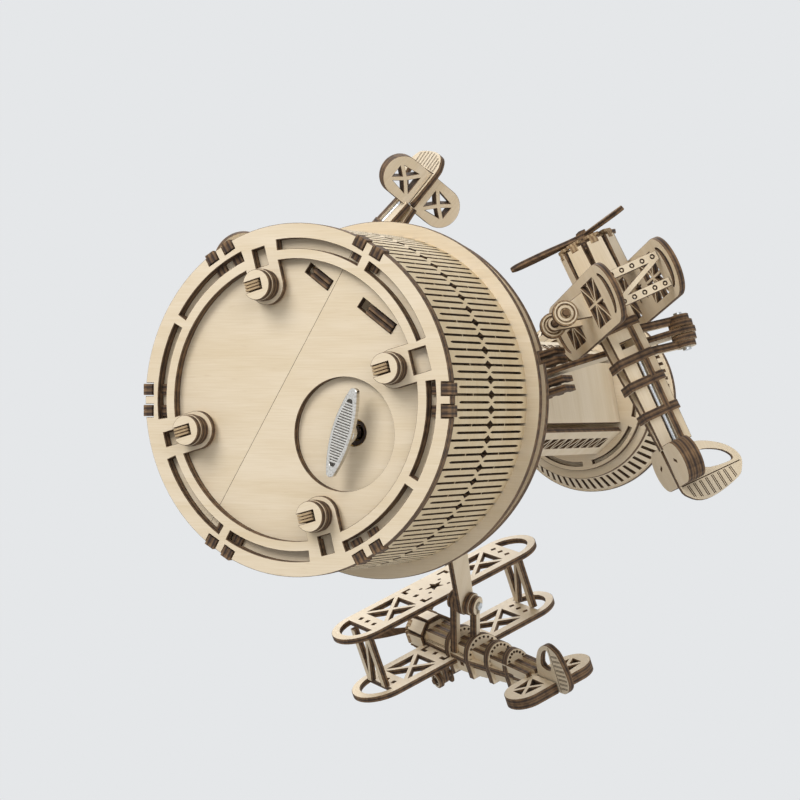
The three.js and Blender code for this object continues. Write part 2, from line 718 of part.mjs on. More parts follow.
function tuneComb() {
  const blockTop = CYLINDER.axisHeight;
  const xStart = CYLINDER.radius + RUN_GAP;
  const yMin = -half(COMB.width);
  const pitch = COMB.width / COMB.teeth;
  const toothShare = 0.62;
  const outline = [];
  for (let i = 0; i < COMB.teeth; i += 1) {
    const y = yMin + i * pitch;
    outline.push(new THREE.Vector2(xStart, y), new THREE.Vector2(xStart, y + pitch * toothShare));
    if (i < COMB.teeth - 1) {
      outline.push(new THREE.Vector2(xStart + COMB.toothLength, y + pitch * toothShare));
      outline.push(new THREE.Vector2(xStart + COMB.toothLength, y + pitch));
    }
  }
  const xEnd = BEDPLATE.xMax - CYLINDER.x - SEAT_GAP;
  const yMax = yMin + COMB.width - pitch * (1 - toothShare);
  outline.push(new THREE.Vector2(xEnd, yMax), new THREE.Vector2(xEnd, yMin));
  const plate = board(outline.reverse(), [], COMB.thickness, blockTop);
  const foot = block(xEnd - COMB.blockLength, xEnd, yMin, yMax, 0, blockTop + half(COMB.thickness));
  return fused([plate, foot]);
}
const combMesh = addNode(part, 'tune_comb', tuneComb(), STEEL);
combMesh.position.set(CYLINDER.x, half(CYLINDER.yMin + CYLINDER.yMax), bedTop);

function governorFan() {
  const frame = GOVERNOR_FRAME;
  const shaftTop = frame.height - SEAT_GAP;
  const shaft = rod(GOVERNOR.shaftRadius, SEAT_GAP, shaftTop, PIN_ROUND);
  const fanBottom = half(frame.height - GOVERNOR.fanHeight);
  const width = half(GOVERNOR.fanWidth);
  const depth = half(GOVERNOR.fanThickness);
  const fan = block(-width, width, -depth, depth, fanBottom, fanBottom + GOVERNOR.fanHeight);
  return fused([shaft, fan]);
}
const fanMesh = addNode(part, 'governor_fan', governorFan(), STEEL);
fanMesh.position.set(GOVERNOR.x, GOVERNOR.y, bedTop);

// Tower boards. The wide faces stand between cut corners that carry lattice strips.
const cosSixty = 0.5;
const sinSixty = Math.sqrt(1 - cosSixty * cosSixty);
const wideHalf = (TOWER_NARROW_APOTHEM - TOWER_WIDE_APOTHEM * cosSixty) / sinSixty;
const narrowHalf = (TOWER_WIDE_APOTHEM - TOWER_NARROW_APOTHEM * cosSixty) / sinSixty;

function widePanel(height) {
  const reach = wideHalf - TOWER_CORNER_SLOT;
  return boardYZ(boxPoints(-reach, reach, 0, height), [], PLY, TOWER_WIDE_APOTHEM - PLY);
}

function trussPanel(height) {
  const reach = narrowHalf - half(SEAT_GAP);
  const cells = Math.floor((height - TRUSS_END - TRUSS_END) / TRUSS_CELL);
  const start = half(height - cells * TRUSS_CELL);
  const openings = [];
  const side = half(TRUSS_BAND);
  for (let i = 0; i < cells; i += 1) {
    const low = start + i * TRUSS_CELL + half(TRUSS_WEB);
    const high = low + TRUSS_CELL - TRUSS_WEB;
    openings.push([
      new THREE.Vector2(-side, low),
      new THREE.Vector2(side, high - TRUSS_WEB),
      new THREE.Vector2(-side, high),
    ]);
  }
  return boardYZ(
    boxPoints(-reach, reach, 0, height), openings, PLY, TOWER_NARROW_APOTHEM - PLY,
  );
}

function lowerTower() {
  const height = LOWER_TOWER_TOP - deckTop;
  const solids = [];
  for (const turn of [0, 120, 240]) {
    const wide = widePanel(height);
    wide.rotateZ(rad(TOWER_TURN + turn));
    const truss = trussPanel(height);
    truss.rotateZ(rad(TOWER_TURN + turn + 60));
    solids.push(wide, truss);
  }
  for (const solid of solids) {
    solid.translate(0, 0, deckTop);
  }
  const hole = circlePoints(sleeveOuter + RUN_GAP, SMALL_ROUND);
  const foot = board(circlePoints(TOWER_FOOT_RADIUS, DISC), [hole], PLY, deckTop);
  const top = board(circlePoints(TOWER_FOOT_RADIUS, DISC), [hole], PLY, LOWER_TOWER_TOP - PLY);
  return fused([foot, top, ...solids]);
}
addNode(part, 'lower_tower', lowerTower(), WOOD);

// Upper tower: foot disc with the lattice strips, and three plain panels seated on it
const panelBottom = towerBottom + PLY;
const panelHeight = HEAD_BOTTOM - panelBottom;
function upperTowerFrame() {
  const hole = circlePoints(POST_RADIUS + half(SEAT_GAP), PIN_ROUND);
  const solids = [board(circlePoints(TOWER_FOOT_RADIUS, DISC), [hole], PLY, towerBottom)];
  for (const turn of [0, 120, 240]) {
    const truss = trussPanel(panelHeight + half(PLY));
    truss.translate(0, 0, panelBottom - half(PLY));
    truss.rotateZ(rad(TOWER_TURN + turn + 60));
    solids.push(truss);
  }
  return fused(solids);
}
addNode(part, 'upper_tower_lattice', upperTowerFrame(), WOOD);
[0, 120, 240].forEach((turn, index) => {
  const panel = addNode(part, `tower_panel_${index + 1}`, widePanel(panelHeight), WOOD);
  panel.position.z = panelBottom;
  panel.rotation.z = rad(TOWER_TURN + turn);
});

// Head: slotted disc, flared slat band, rim and roof
function headDisc() {
  const openings = [circlePoints(POST_RADIUS + half(SEAT_GAP), PIN_ROUND)];
  const outer = HEAD_DISC_RADIUS - HEAD_SLOT.inset;
  const inner = outer - HEAD_SLOT.width;
  const sweep = 50;
  for (const turn of [0, 60, 120, 180, 240, 300]) {
    const from = TOWER_TURN + turn - half(sweep);
    openings.push([
      ...arcPoints(outer, from, from + sweep, 3),
      ...arcPoints(inner, from + sweep, from, 3),
    ]);
  }
  const disc = board(circlePoints(HEAD_DISC_RADIUS, DISC), openings, PLY, HEAD_BOTTOM);
  const ring = board(
    circlePoints(HEAD_RING_RADIUS, DISC),
    [circlePoints(POST_RADIUS + half(SEAT_GAP), PIN_ROUND)], PLY, HEAD_BOTTOM + PLY,
  );
  return fused([disc, ring]);
}
addNode(part, 'head_disc', headDisc(), WOOD);

const bandBottom = HEAD_BOTTOM + PLY + PLY;
const bandTop = bandBottom + BAND_HEIGHT;
function headBand() {
  const slope = (BAND_TOP_RADIUS - BAND_BOTTOM_RADIUS) / BAND_HEIGHT;
  const end = BAND_HEIGHT * BAND_SLOT_SHARES.end;
  const middleRadius = half(BAND_BOTTOM_RADIUS + BAND_TOP_RADIUS);
  const width = (Math.PI * 2 * middleRadius / BAND_SLOTS) * BAND_SLOT_SHARES.width;
  const slot = boxPoints(-half(width), half(width), bandBottom + end, bandTop - end);
  return slitBand({
    columns: BAND_SLOTS,
    radiusAt: (z) => BAND_BOTTOM_RADIUS + slope * (z - bandBottom),
    thickness: PLY,
    zMin: bandBottom,
    zMax: bandTop,
    cells: [{ fromShare: -0.5, toShare: 0.5, holes: [slot.map((p) => [p.x, p.y])] }],
  });
}
addNode(part, 'head_band', headBand(), WOOD);

function headRoof() {
  const rimTop = bandTop + PLY;
  const eaves = rimTop + PLY;
  const lanternBottom = eaves + PLY;
  const lanternTop = lanternBottom + PLY;
  const bore = POST_RADIUS + half(SEAT_GAP);
  return turned([
    [0, postTop + RUN_GAP],
    [bore, postTop + RUN_GAP],
    [bore, bandTop],
    [RIM_RADIUS, bandTop],
    [RIM_RADIUS, rimTop],
    [HEAD_RING_RADIUS, rimTop],
    [ROOF_STEP_RADIUS, eaves],
    [ROOF_STEP_RADIUS, lanternBottom],
    [LANTERN_RADIUS, lanternBottom],
    [LANTERN_RADIUS, lanternTop],
    [FINIAL_RADIUS, lanternTop],
    [FINIAL_RADIUS, ROOF_TOP],
    [0, ROOF_TOP],
  ], DISC);
}
addNode(part, 'head_roof', headRoof(), WOOD);

// Carousel: the sleeve, the hub with its cheeks, and the arms
addNode(part, 'drive_sleeve', driveSleeve(), WOOD_SHADE);
const armBottom = HUB_BOTTOM + PLY;
const armTop = armBottom + ARM_HEIGHT;

function carouselHub() {
  const bore = circlePoints(POST_RADIUS + RUN_GAP, PIN_ROUND);
  const topBottom = armTop + RUN_GAP;
  const solids = [
    board(circlePoints(HUB_RADIUS, DISC), [bore], PLY, HUB_BOTTOM),
    board(circlePoints(HUB_BOSS_RADIUS, DISC), [bore], hubTop - armBottom, armBottom),
    board(circlePoints(HUB_TOP_RADIUS, DISC), [bore], PLY, topBottom),
  ];
  const cheekReach = half(PLY);
  for (const angle of ARM_ANGLES) {
    for (const step of [-2, -1, 1, 2]) {
      const middle = step * CHEEK_PITCH;
      const cheek = block(
        CHEEK_INNER_RADIUS, CHEEK_OUTER_RADIUS,
        middle - cheekReach, middle + cheekReach, armBottom - half(PLY), armTop,
      );
      solids.push(turnedCopy(cheek, angle));
    }
  }
  return fused(solids);
}
addNode(part, 'carousel_hub', carouselHub(), WOOD_BURNT);

// Planes: how each hangs on its arm. reach and height place the pin of the tilting joint;
// heading and up are shares along the arm's outward, sideways and upward directions.
const TRAINER = {
  wing: { halfSpan: 39, chord: 20, gap: 20.8, tipSteps: 4 },
  strut: { halfWidth: 4.8, inset: 9.5, leanSide: -1 },
  body: {
    noseX: 9, tailX: -50, spineZ: 9.5, bottomZ: 0.8, topZ: 14, halfWidth: 5, topHalfWidth: 2,
    tailHalfWidth: 2.4, tailBottomZ: 2.4,
  },
  ribXs: [-9, -20.5, -28.5, -39],
  ribTopZ: 14.6,
  cowl: { length: 11, radius: 9.2, staves: 8, axisZ: 10.2 },
  tail: { x: -56, z: 5.5, halfSpan: 16.5, chord: 14, plies: 3, windowed: false },
  fin: { x: -50.5, z: 3.3, length: 20, height: 22 },
  pivot: { x: -18, z: 26.5 },
  wheels: { x: 1.8, z: -9.2, halfTrack: 9, radius: 4.2, width: 2 },
};
const SCOUT = {
  ...TRAINER,
  tail: { ...TRAINER.tail, plies: 2, windowed: true },
  pivot: { x: -23.5, z: 26.5 },
};
const RACER = {
  wing: { halfSpan: 42, chord: 23, gap: 23, tipSteps: 4 },
  strut: { halfWidth: 6.5, inset: 10, leanSide: 1 },
  body: {
    noseX: 11, tailX: -58, spineZ: 1.6, bottomZ: -5, topZ: 6, halfWidth: 6, topHalfWidth: 4.4,
    tailHalfWidth: 2.6, tailBottomZ: -2,
  },
  ribXs: [-8, -21.4, -33.4, -44.4],
  ribTopZ: 9.4,
  cowl: { length: 9, radius: 7.2, staves: 8, axisZ: 2 },
  tail: { x: -64, z: 1.6, halfSpan: 16.5, chord: 14.5, plies: 2, windowed: true },
  fin: { x: -60, z: 0.4, length: 20, height: 17 },
  pivot: { x: -20, z: 22 },
  wheels: { x: 3, z: -10, halfTrack: 9, radius: 3, width: 2 },
};
const PLANES = [
  {
    model: TRAINER, reach: 76.3, height: 120.5,
    headingShares: [-0.144, -0.983, -0.116], upShares: [0.763, -0.185, 0.619],
  },
  {
    model: RACER, reach: 71.6, height: 141,
    headingShares: [0.067, 0.843, 0.534], upShares: [-0.856, 0.323, -0.403],
  },
  {
    model: SCOUT, reach: 77.2, height: 124,
    headingShares: [-0.126, -0.954, -0.27], upShares: [0.755, -0.269, 0.598],
  },
];
const LUG = { thickness: 4, radius: 4, neck: 2.6 };
const PROPELLER = {
  blades: 3, bladeLength: 25.5, width: 4, thickness: 1.6, hubRadius: 2.6, shaftLength: 2.2,
};
const WING_CUTS = {
  rail: 3, tipSlot: 2.4, slotFrom: 12, dot: 1.5, brace: 1.6, cellLength: 15, starRadius: 3.4,
  starHollowShare: 0.45,
};
const STRUT = { bar: 2.8, diagonal: 3.4 };
const AXLE_RADIUS = 1;
const TIRE_DEPTH = 1.2;
const GEAR_LEG = { spread: 4.5 };

// Wing: a board with round tips, an arc slot at each tip, a braced cell and three dots a side
function wingPoints(wing) {
  const r = half(wing.chord);
  const straight = wing.halfSpan - r;
  return [
    ...arcPoints(r, 0, 180, wing.tipSteps * 2, 0, straight),
    ...arcPoints(r, 180, 360, wing.tipSteps * 2, 0, -straight),
  ];
}

function wingOpenings(wing, decorated) {
  const r = half(wing.chord);
  const straight = wing.halfSpan - r;
  const { rail, tipSlot, slotFrom, dot, brace, cellLength, starRadius, starHollowShare } = WING_CUTS;
  const openings = [];
  for (const side of [-1, 1]) {
    const outer = arcPoints(r - rail, slotFrom, 180 - slotFrom, wing.tipSteps, 0, straight);
    const inner = arcPoints(
      r - rail - tipSlot, 180 - slotFrom, slotFrom, wing.tipSteps, 0, straight,
    );
    openings.push([...outer, ...inner].map((p) => new THREE.Vector2(p.x, p.y * side)));
    const cellEnd = straight - tipSlot - dot;
    const cellStart = cellEnd - cellLength;
    const reach = r - rail;
    const middle = half(cellStart + cellEnd);
    const cell = [
      [[-reach + brace, cellStart], [reach - brace, cellStart], [0, middle - brace]],
      [[-reach + brace, cellEnd], [0, middle + brace], [reach - brace, cellEnd]],
      [[-reach, cellStart + brace], [-brace, middle], [-reach, cellEnd - brace]],
      [[reach, cellStart + brace], [reach, cellEnd - brace], [brace, middle]],
    ];
    for (const corners of cell) {
      openings.push(corners.map(([x, y]) => new THREE.Vector2(x, y * side)));
    }
    if (decorated) {
      for (const row of [-1, 0, 1]) {
        const x = row * half(reach);
        const y = side * (straight - half(dot));
        openings.push(boxPoints(x - half(dot), x + half(dot), y - half(dot), y + half(dot)));
      }
    }
  }
  if (decorated) {
    const star = [];
    const tips = 5;
    for (let i = 0; i < tips; i += 1) {
      const angle = (360 * i) / tips;
      star.push(...arcPoints(starRadius, angle, angle, 1).slice(1));
      const between = angle + 180 / tips;
      star.push(...arcPoints(starRadius * starHollowShare, between, between, 1).slice(1));
    }
    openings.push(star);
  }
  return openings;
}

// Landing gear legs under the lower wing, each with the eye that the axle turns in
function gearLegs(wheels) {
  const eyeRadius = AXLE_RADIUS + SEAT_GAP + half(PLY);
  const { x, z, halfTrack, width } = wheels;
  const top = 0;
  const outline = [
    new THREE.Vector2(x + GEAR_LEG.spread, top),
    new THREE.Vector2(x - GEAR_LEG.spread, top),
    ...arcPoints(eyeRadius, 180, 360, 4, x, z),
  ];
  const hole = circlePoints(AXLE_RADIUS + SEAT_GAP, PIN_ROUND, x, z);
  const y = halfTrack - half(width) - SEAT_GAP - PLY;
  return [y, -y - PLY].map((start) => boardXZ(outline, [hole], PLY, start));
}

// Room round the legs in the body
function gearSpaces(wheels) {
  const { x, z, halfTrack, width } = wheels;
  const reach = GEAR_LEG.spread + SEAT_GAP;
  const inner = halfTrack - half(width) - SEAT_GAP - PLY - SEAT_GAP;
  const outer = inner + PLY + SEAT_GAP + SEAT_GAP;
  return [
    block(x - reach, x + reach, inner, outer, z - reach, 0),
    block(x - reach, x + reach, -outer, -inner, z - reach, 0),
  ];
}

// N-shaped strut between the wings, drawn in X and Z from the lower wing's top. leanSide is 1
// where the slanting bar drops towards the nose and -1 where it drops towards the tail.
function strutPoints(height, { halfWidth: w, leanSide }) {
  const { bar, diagonal } = STRUT;
  const points = [
    [-w, 0], [-w + bar, 0], [-w + bar, height - diagonal], [w - bar, 0], [w, 0],
    [w, height], [w - bar, height], [w - bar, diagonal], [-w + bar, height], [-w, height],
  ].map(([x, z]) => new THREE.Vector2(x * leanSide, z));
  return leanSide > 0 ? points : points.reverse();
}

// Body: spine board, side boards with windows, formers, cowl staves and engine heads
function bodySolids(model) {
  const { body, cowl, tail } = model;
  const solids = [];
  const w = body.halfWidth;
  const t = body.tailHalfWidth;
  solids.push(board([
    new THREE.Vector2(body.noseX, -w), new THREE.Vector2(body.noseX, w),
    new THREE.Vector2(model.ribXs[1], w), new THREE.Vector2(body.tailX, t),
    new THREE.Vector2(body.tailX, -t), new THREE.Vector2(model.ribXs[1], -w),
  ].reverse(), [], PLY, body.spineZ - half(PLY)));
  const sideLow = body.bottomZ;
  const rise = body.tailBottomZ - body.bottomZ;
  const sideLength = body.noseX - body.tailX;
  const floorAt = (x) => sideLow + rise * ((body.noseX - x) / sideLength);
  const rail = WING_CUTS.rail;
  const windows = [];
  for (let i = 0; i + 1 < model.ribXs.length; i += 1) {
    const front = model.ribXs[i] - PLY;
    const back = model.ribXs[i + 1] + PLY;
    windows.push([
      new THREE.Vector2(back, floorAt(back) + rail), new THREE.Vector2(front, floorAt(front) + rail),
      new THREE.Vector2(front, body.spineZ), new THREE.Vector2(back, body.spineZ),
    ]);
  }
  const turn = Math.atan2(w - t, model.ribXs[1] - body.tailX);
  for (const side of [-1, 1]) {
    const y0 = side > 0 ? w - PLY : -w;
    const front = boardXZ([
      new THREE.Vector2(model.ribXs[1], floorAt(model.ribXs[1])),
      new THREE.Vector2(body.noseX, floorAt(body.noseX)),
      new THREE.Vector2(body.noseX, body.spineZ + half(PLY)),
      new THREE.Vector2(model.ribXs[1], body.spineZ + half(PLY)),
    ], [windows[0]], PLY, y0);
    solids.push(front);
    const rearLength = (model.ribXs[1] - body.tailX) / Math.cos(turn);
    const stretch = rearLength / (model.ribXs[1] - body.tailX);
    const toRear = (p) => new THREE.Vector2((p.x - model.ribXs[1]) * stretch, p.y);
    const rear = boardXZ([
      new THREE.Vector2(body.tailX, floorAt(body.tailX)),
      new THREE.Vector2(model.ribXs[1], floorAt(model.ribXs[1])),
      new THREE.Vector2(model.ribXs[1], body.spineZ + half(PLY)),
      new THREE.Vector2(body.tailX, body.spineZ + half(PLY)),
    ].map(toRear), windows.slice(1).map((points) => points.map(toRear)), PLY, y0 - side * w);
    rear.rotateZ(side * turn);
    rear.translate(model.ribXs[1], side * w, 0);
    solids.push(rear);
  }
  const deckTopShare = 0.8;
  solids.push(boardXZ([
    new THREE.Vector2(body.tailX, body.spineZ),
    new THREE.Vector2(body.noseX, body.spineZ),
    new THREE.Vector2(body.noseX, body.topZ),
    new THREE.Vector2(model.ribXs[1], body.topZ),
    new THREE.Vector2(body.tailX, body.spineZ + (body.topZ - body.spineZ) * deckTopShare),
  ], [], body.topHalfWidth * 2, -body.topHalfWidth));
  const archSteps = 8;
  model.ribXs.forEach((x) => {
    const share = Math.max(0, (model.ribXs[1] - x) / (model.ribXs[1] - body.tailX));
    const width = w + (t - w) * share + half(PLY);
    const low = floorAt(x) - half(PLY);
    const archHeight = model.ribTopZ - body.spineZ;
    const arch = arcPoints(width, 0, 180, archSteps).map(
      (point) => new THREE.Vector2(point.x, body.spineZ + (point.y * archHeight) / width),
    );
    solids.push(boardYZ([
      new THREE.Vector2(-width, low), new THREE.Vector2(width, low), ...arch,
    ], [], PLY + half(PLY), x - half(PLY)));
  });
  const axisZ = cowl.axisZ;
  const discPoints = circlePoints(cowl.radius - half(PLY), PIN_ROUND, 0, axisZ);
  const engineX = body.noseX + cowl.length;
  solids.push(boardYZ(discPoints, [], PLY, body.noseX - half(PLY)));
  solids.push(boardYZ(discPoints, [], PLY, engineX - PLY));
  const staveShare = 0.6;
  const staveWidth = (Math.PI * cowl.radius * staveShare) / cowl.staves;
  for (let i = 0; i < cowl.staves; i += 1) {
    const stave = block(
      body.noseX - half(PLY), engineX,
      -staveWidth, staveWidth, cowl.radius - PLY, cowl.radius,
    );
    stave.rotateX((Math.PI * 2 * i) / cowl.staves);
    stave.translate(0, 0, axisZ);
    solids.push(stave);
    const head = block(
      engineX - half(PLY), engineX + PLY,
      -half(PLY), half(PLY), half(cowl.radius), cowl.radius,
    );
    head.rotateX((Math.PI * 2 * (i + half(1))) / cowl.staves);
    head.translate(0, 0, axisZ);
    if (i % 2 === 0) {
      solids.push(head);
    }
  }
  const tailSeat = boardXZ([
    new THREE.Vector2(tail.x - half(tail.chord), tail.z - half(PLY)),
    new THREE.Vector2(body.tailX + PLY, floorAt(body.tailX)),
    new THREE.Vector2(body.tailX + PLY, body.spineZ),
  ], [], PLY, -half(PLY));
  solids.push(tailSeat);
  return solids;
}

// Tilting joint: a pin through the arm's eye with a stack of discs at either side, and the necks
// that stand on the body. The pin lies along X here until pivotTurn turns it, and the necks run
// square to it towards the body, so that the plane can tilt without touching the arm.
function jointSolids(model, pivotTurn) {
  const { body, pivot } = model;
  const lugInner = half(PLY) + half(RUN_GAP);
  const pinReach = lugInner + half(LUG.thickness);
  const pieces = [boardYZ(circlePoints(PIVOT_PIN_RADIUS, PIN_ROUND), [], pinReach + pinReach, -pinReach)];
  const down = new THREE.Vector3(0, 0, -1).applyMatrix4(pivotTurn.clone().invert());
  const lean = Math.atan2(-down.y, down.z);
  const neckLength = (pivot.z - body.spineZ) / Math.hypot(down.y, down.z);
  for (const side of [-1, 1]) {
    const start = side > 0 ? lugInner : -lugInner - LUG.thickness;
    const neckStart = side > 0 ? start + LUG.thickness - LUG.neck : start;
    const neck = block(neckStart, neckStart + LUG.neck, -half(LUG.neck), half(LUG.neck), 0, neckLength);
    pieces.push(
      boardYZ(circlePoints(LUG.radius, SMALL_ROUND), [], LUG.thickness, start),
      neck.rotateX(lean),
    );
  }
  for (const piece of pieces) {
    piece.applyMatrix4(pivotTurn);
    piece.translate(pivot.x, 0, pivot.z);
  }
  return pieces;
}

function propellerGeometry() {
  const { blades, bladeLength, width, thickness, hubRadius, shaftLength } = PROPELLER;
  const tipShare = 0.55;
  const rootShare = 0.4;
  const bladeOutline = [
    [-half(width) * tipShare, bladeLength], [-half(width), bladeLength * tipShare],
    [-half(width) * rootShare, 0], [half(width) * rootShare, 0],
    [half(width), bladeLength * tipShare], [half(width) * tipShare, bladeLength],
  ];
  const solids = [boardYZ(circlePoints(hubRadius, PIN_ROUND), [], shaftLength + thickness, -shaftLength)];
  for (let blade = 0; blade < blades; blade += 1) {
    const twist = 18;
    const solid = boardYZ(bladeOutline.map(([y, z]) => new THREE.Vector2(y, z)), [], thickness, 0);
    solid.translate(-half(thickness), 0, 0);
    solid.rotateZ(rad(twist));
    solid.translate(half(thickness), 0, 0);
    solid.rotateX(rad(180 + (360 * blade) / blades));
    solids.push(solid);
  }
  return fused(solids);
}

function wheelGeometry(wheels) {
  const { halfTrack, radius, width } = wheels;
  const axle = rod(AXLE_RADIUS, -halfTrack - width, halfTrack + width, PIN_ROUND);
  const solids = [axle];
  for (const turn of [0, 180]) {
    const low = halfTrack - half(width);
    const high = halfTrack + half(width);
    const recess = high - half(TIRE_DEPTH);
    const wheel = turned([
      [0, low], [radius, low], [radius, high], [radius - TIRE_DEPTH, high],
      [radius - TIRE_DEPTH, recess], [0, recess],
    ], SMALL_ROUND);
    solids.push(wheel.rotateX(rad(turn)));
  }
  return fused(solids).rotateX(rad(90));
}

// Fin and rudder, drawn in X and Z from the foot of its leading edge
function finGeometry(fin) {
  const { length, height } = fin;
  const outlineShares = [
    [0, 0], [0, 0.21], [-0.08, 0.53], [-0.25, 0.8], [-0.43, 0.95], [-0.61, 1], [-0.78, 0.94],
    [-0.88, 0.84], [-1, 0.46], [-0.99, 0.2], [-0.83, 0.03], [-0.63, -0.04],
  ];
  const holeShares = [[-0.22, 0.46], [-0.33, 0.74], [-0.5, 0.88], [-0.58, 0.82], [-0.5, 0.43]];
  const toPoints = (shares) => shares.map(
    ([x, z]) => new THREE.Vector2(fin.x + x * length, fin.z + z * height),
  );
  return boardXZ(toPoints(outlineShares).reverse(), [toPoints(holeShares)], PLY, -half(PLY));
}

// Tailplane with round tips, four windows a side where it is windowed, and a slot from behind
// for the fin
function tailGeometry(tail, fin) {
  const r = half(tail.chord);
  const straight = tail.halfSpan - r;
  const outline = [
    ...arcPoints(r, 0, 180, 8, tail.x, straight), ...arcPoints(r, 180, 360, 8, tail.x, -straight),
  ];
  const { brace, rail } = WING_CUTS;
  const openings = [];
  for (const side of tail.windowed ? [-1, 1] : []) {
    const y0 = side * (half(PLY) + rail);
    const y1 = side * (tail.halfSpan - rail);
    const ym = half(y0 + y1);
    const reach = r - rail;
    const gap = half(brace);
    for (const end of [-1, 1]) {
      const near = [tail.x + end * gap, y0];
      openings.push([
        new THREE.Vector2(...near),
        new THREE.Vector2(tail.x + end * reach, y0),
        new THREE.Vector2(tail.x + end * gap, ym - side * gap),
      ]);
      openings.push([
        new THREE.Vector2(tail.x + end * gap, ym + side * gap),
        new THREE.Vector2(tail.x + end * reach, ym),
        new THREE.Vector2(tail.x + end * gap, y1),
      ]);
    }
  }
  const thickness = PLY * tail.plies;
  const slot = block(
    tail.x - tail.chord, fin.x + SEAT_GAP, -half(PLY) - SEAT_GAP, half(PLY) + SEAT_GAP,
    tail.z - thickness, tail.z + thickness,
  );
  return fused([board(outline, openings, thickness, tail.z - half(thickness))], [slot]);
}

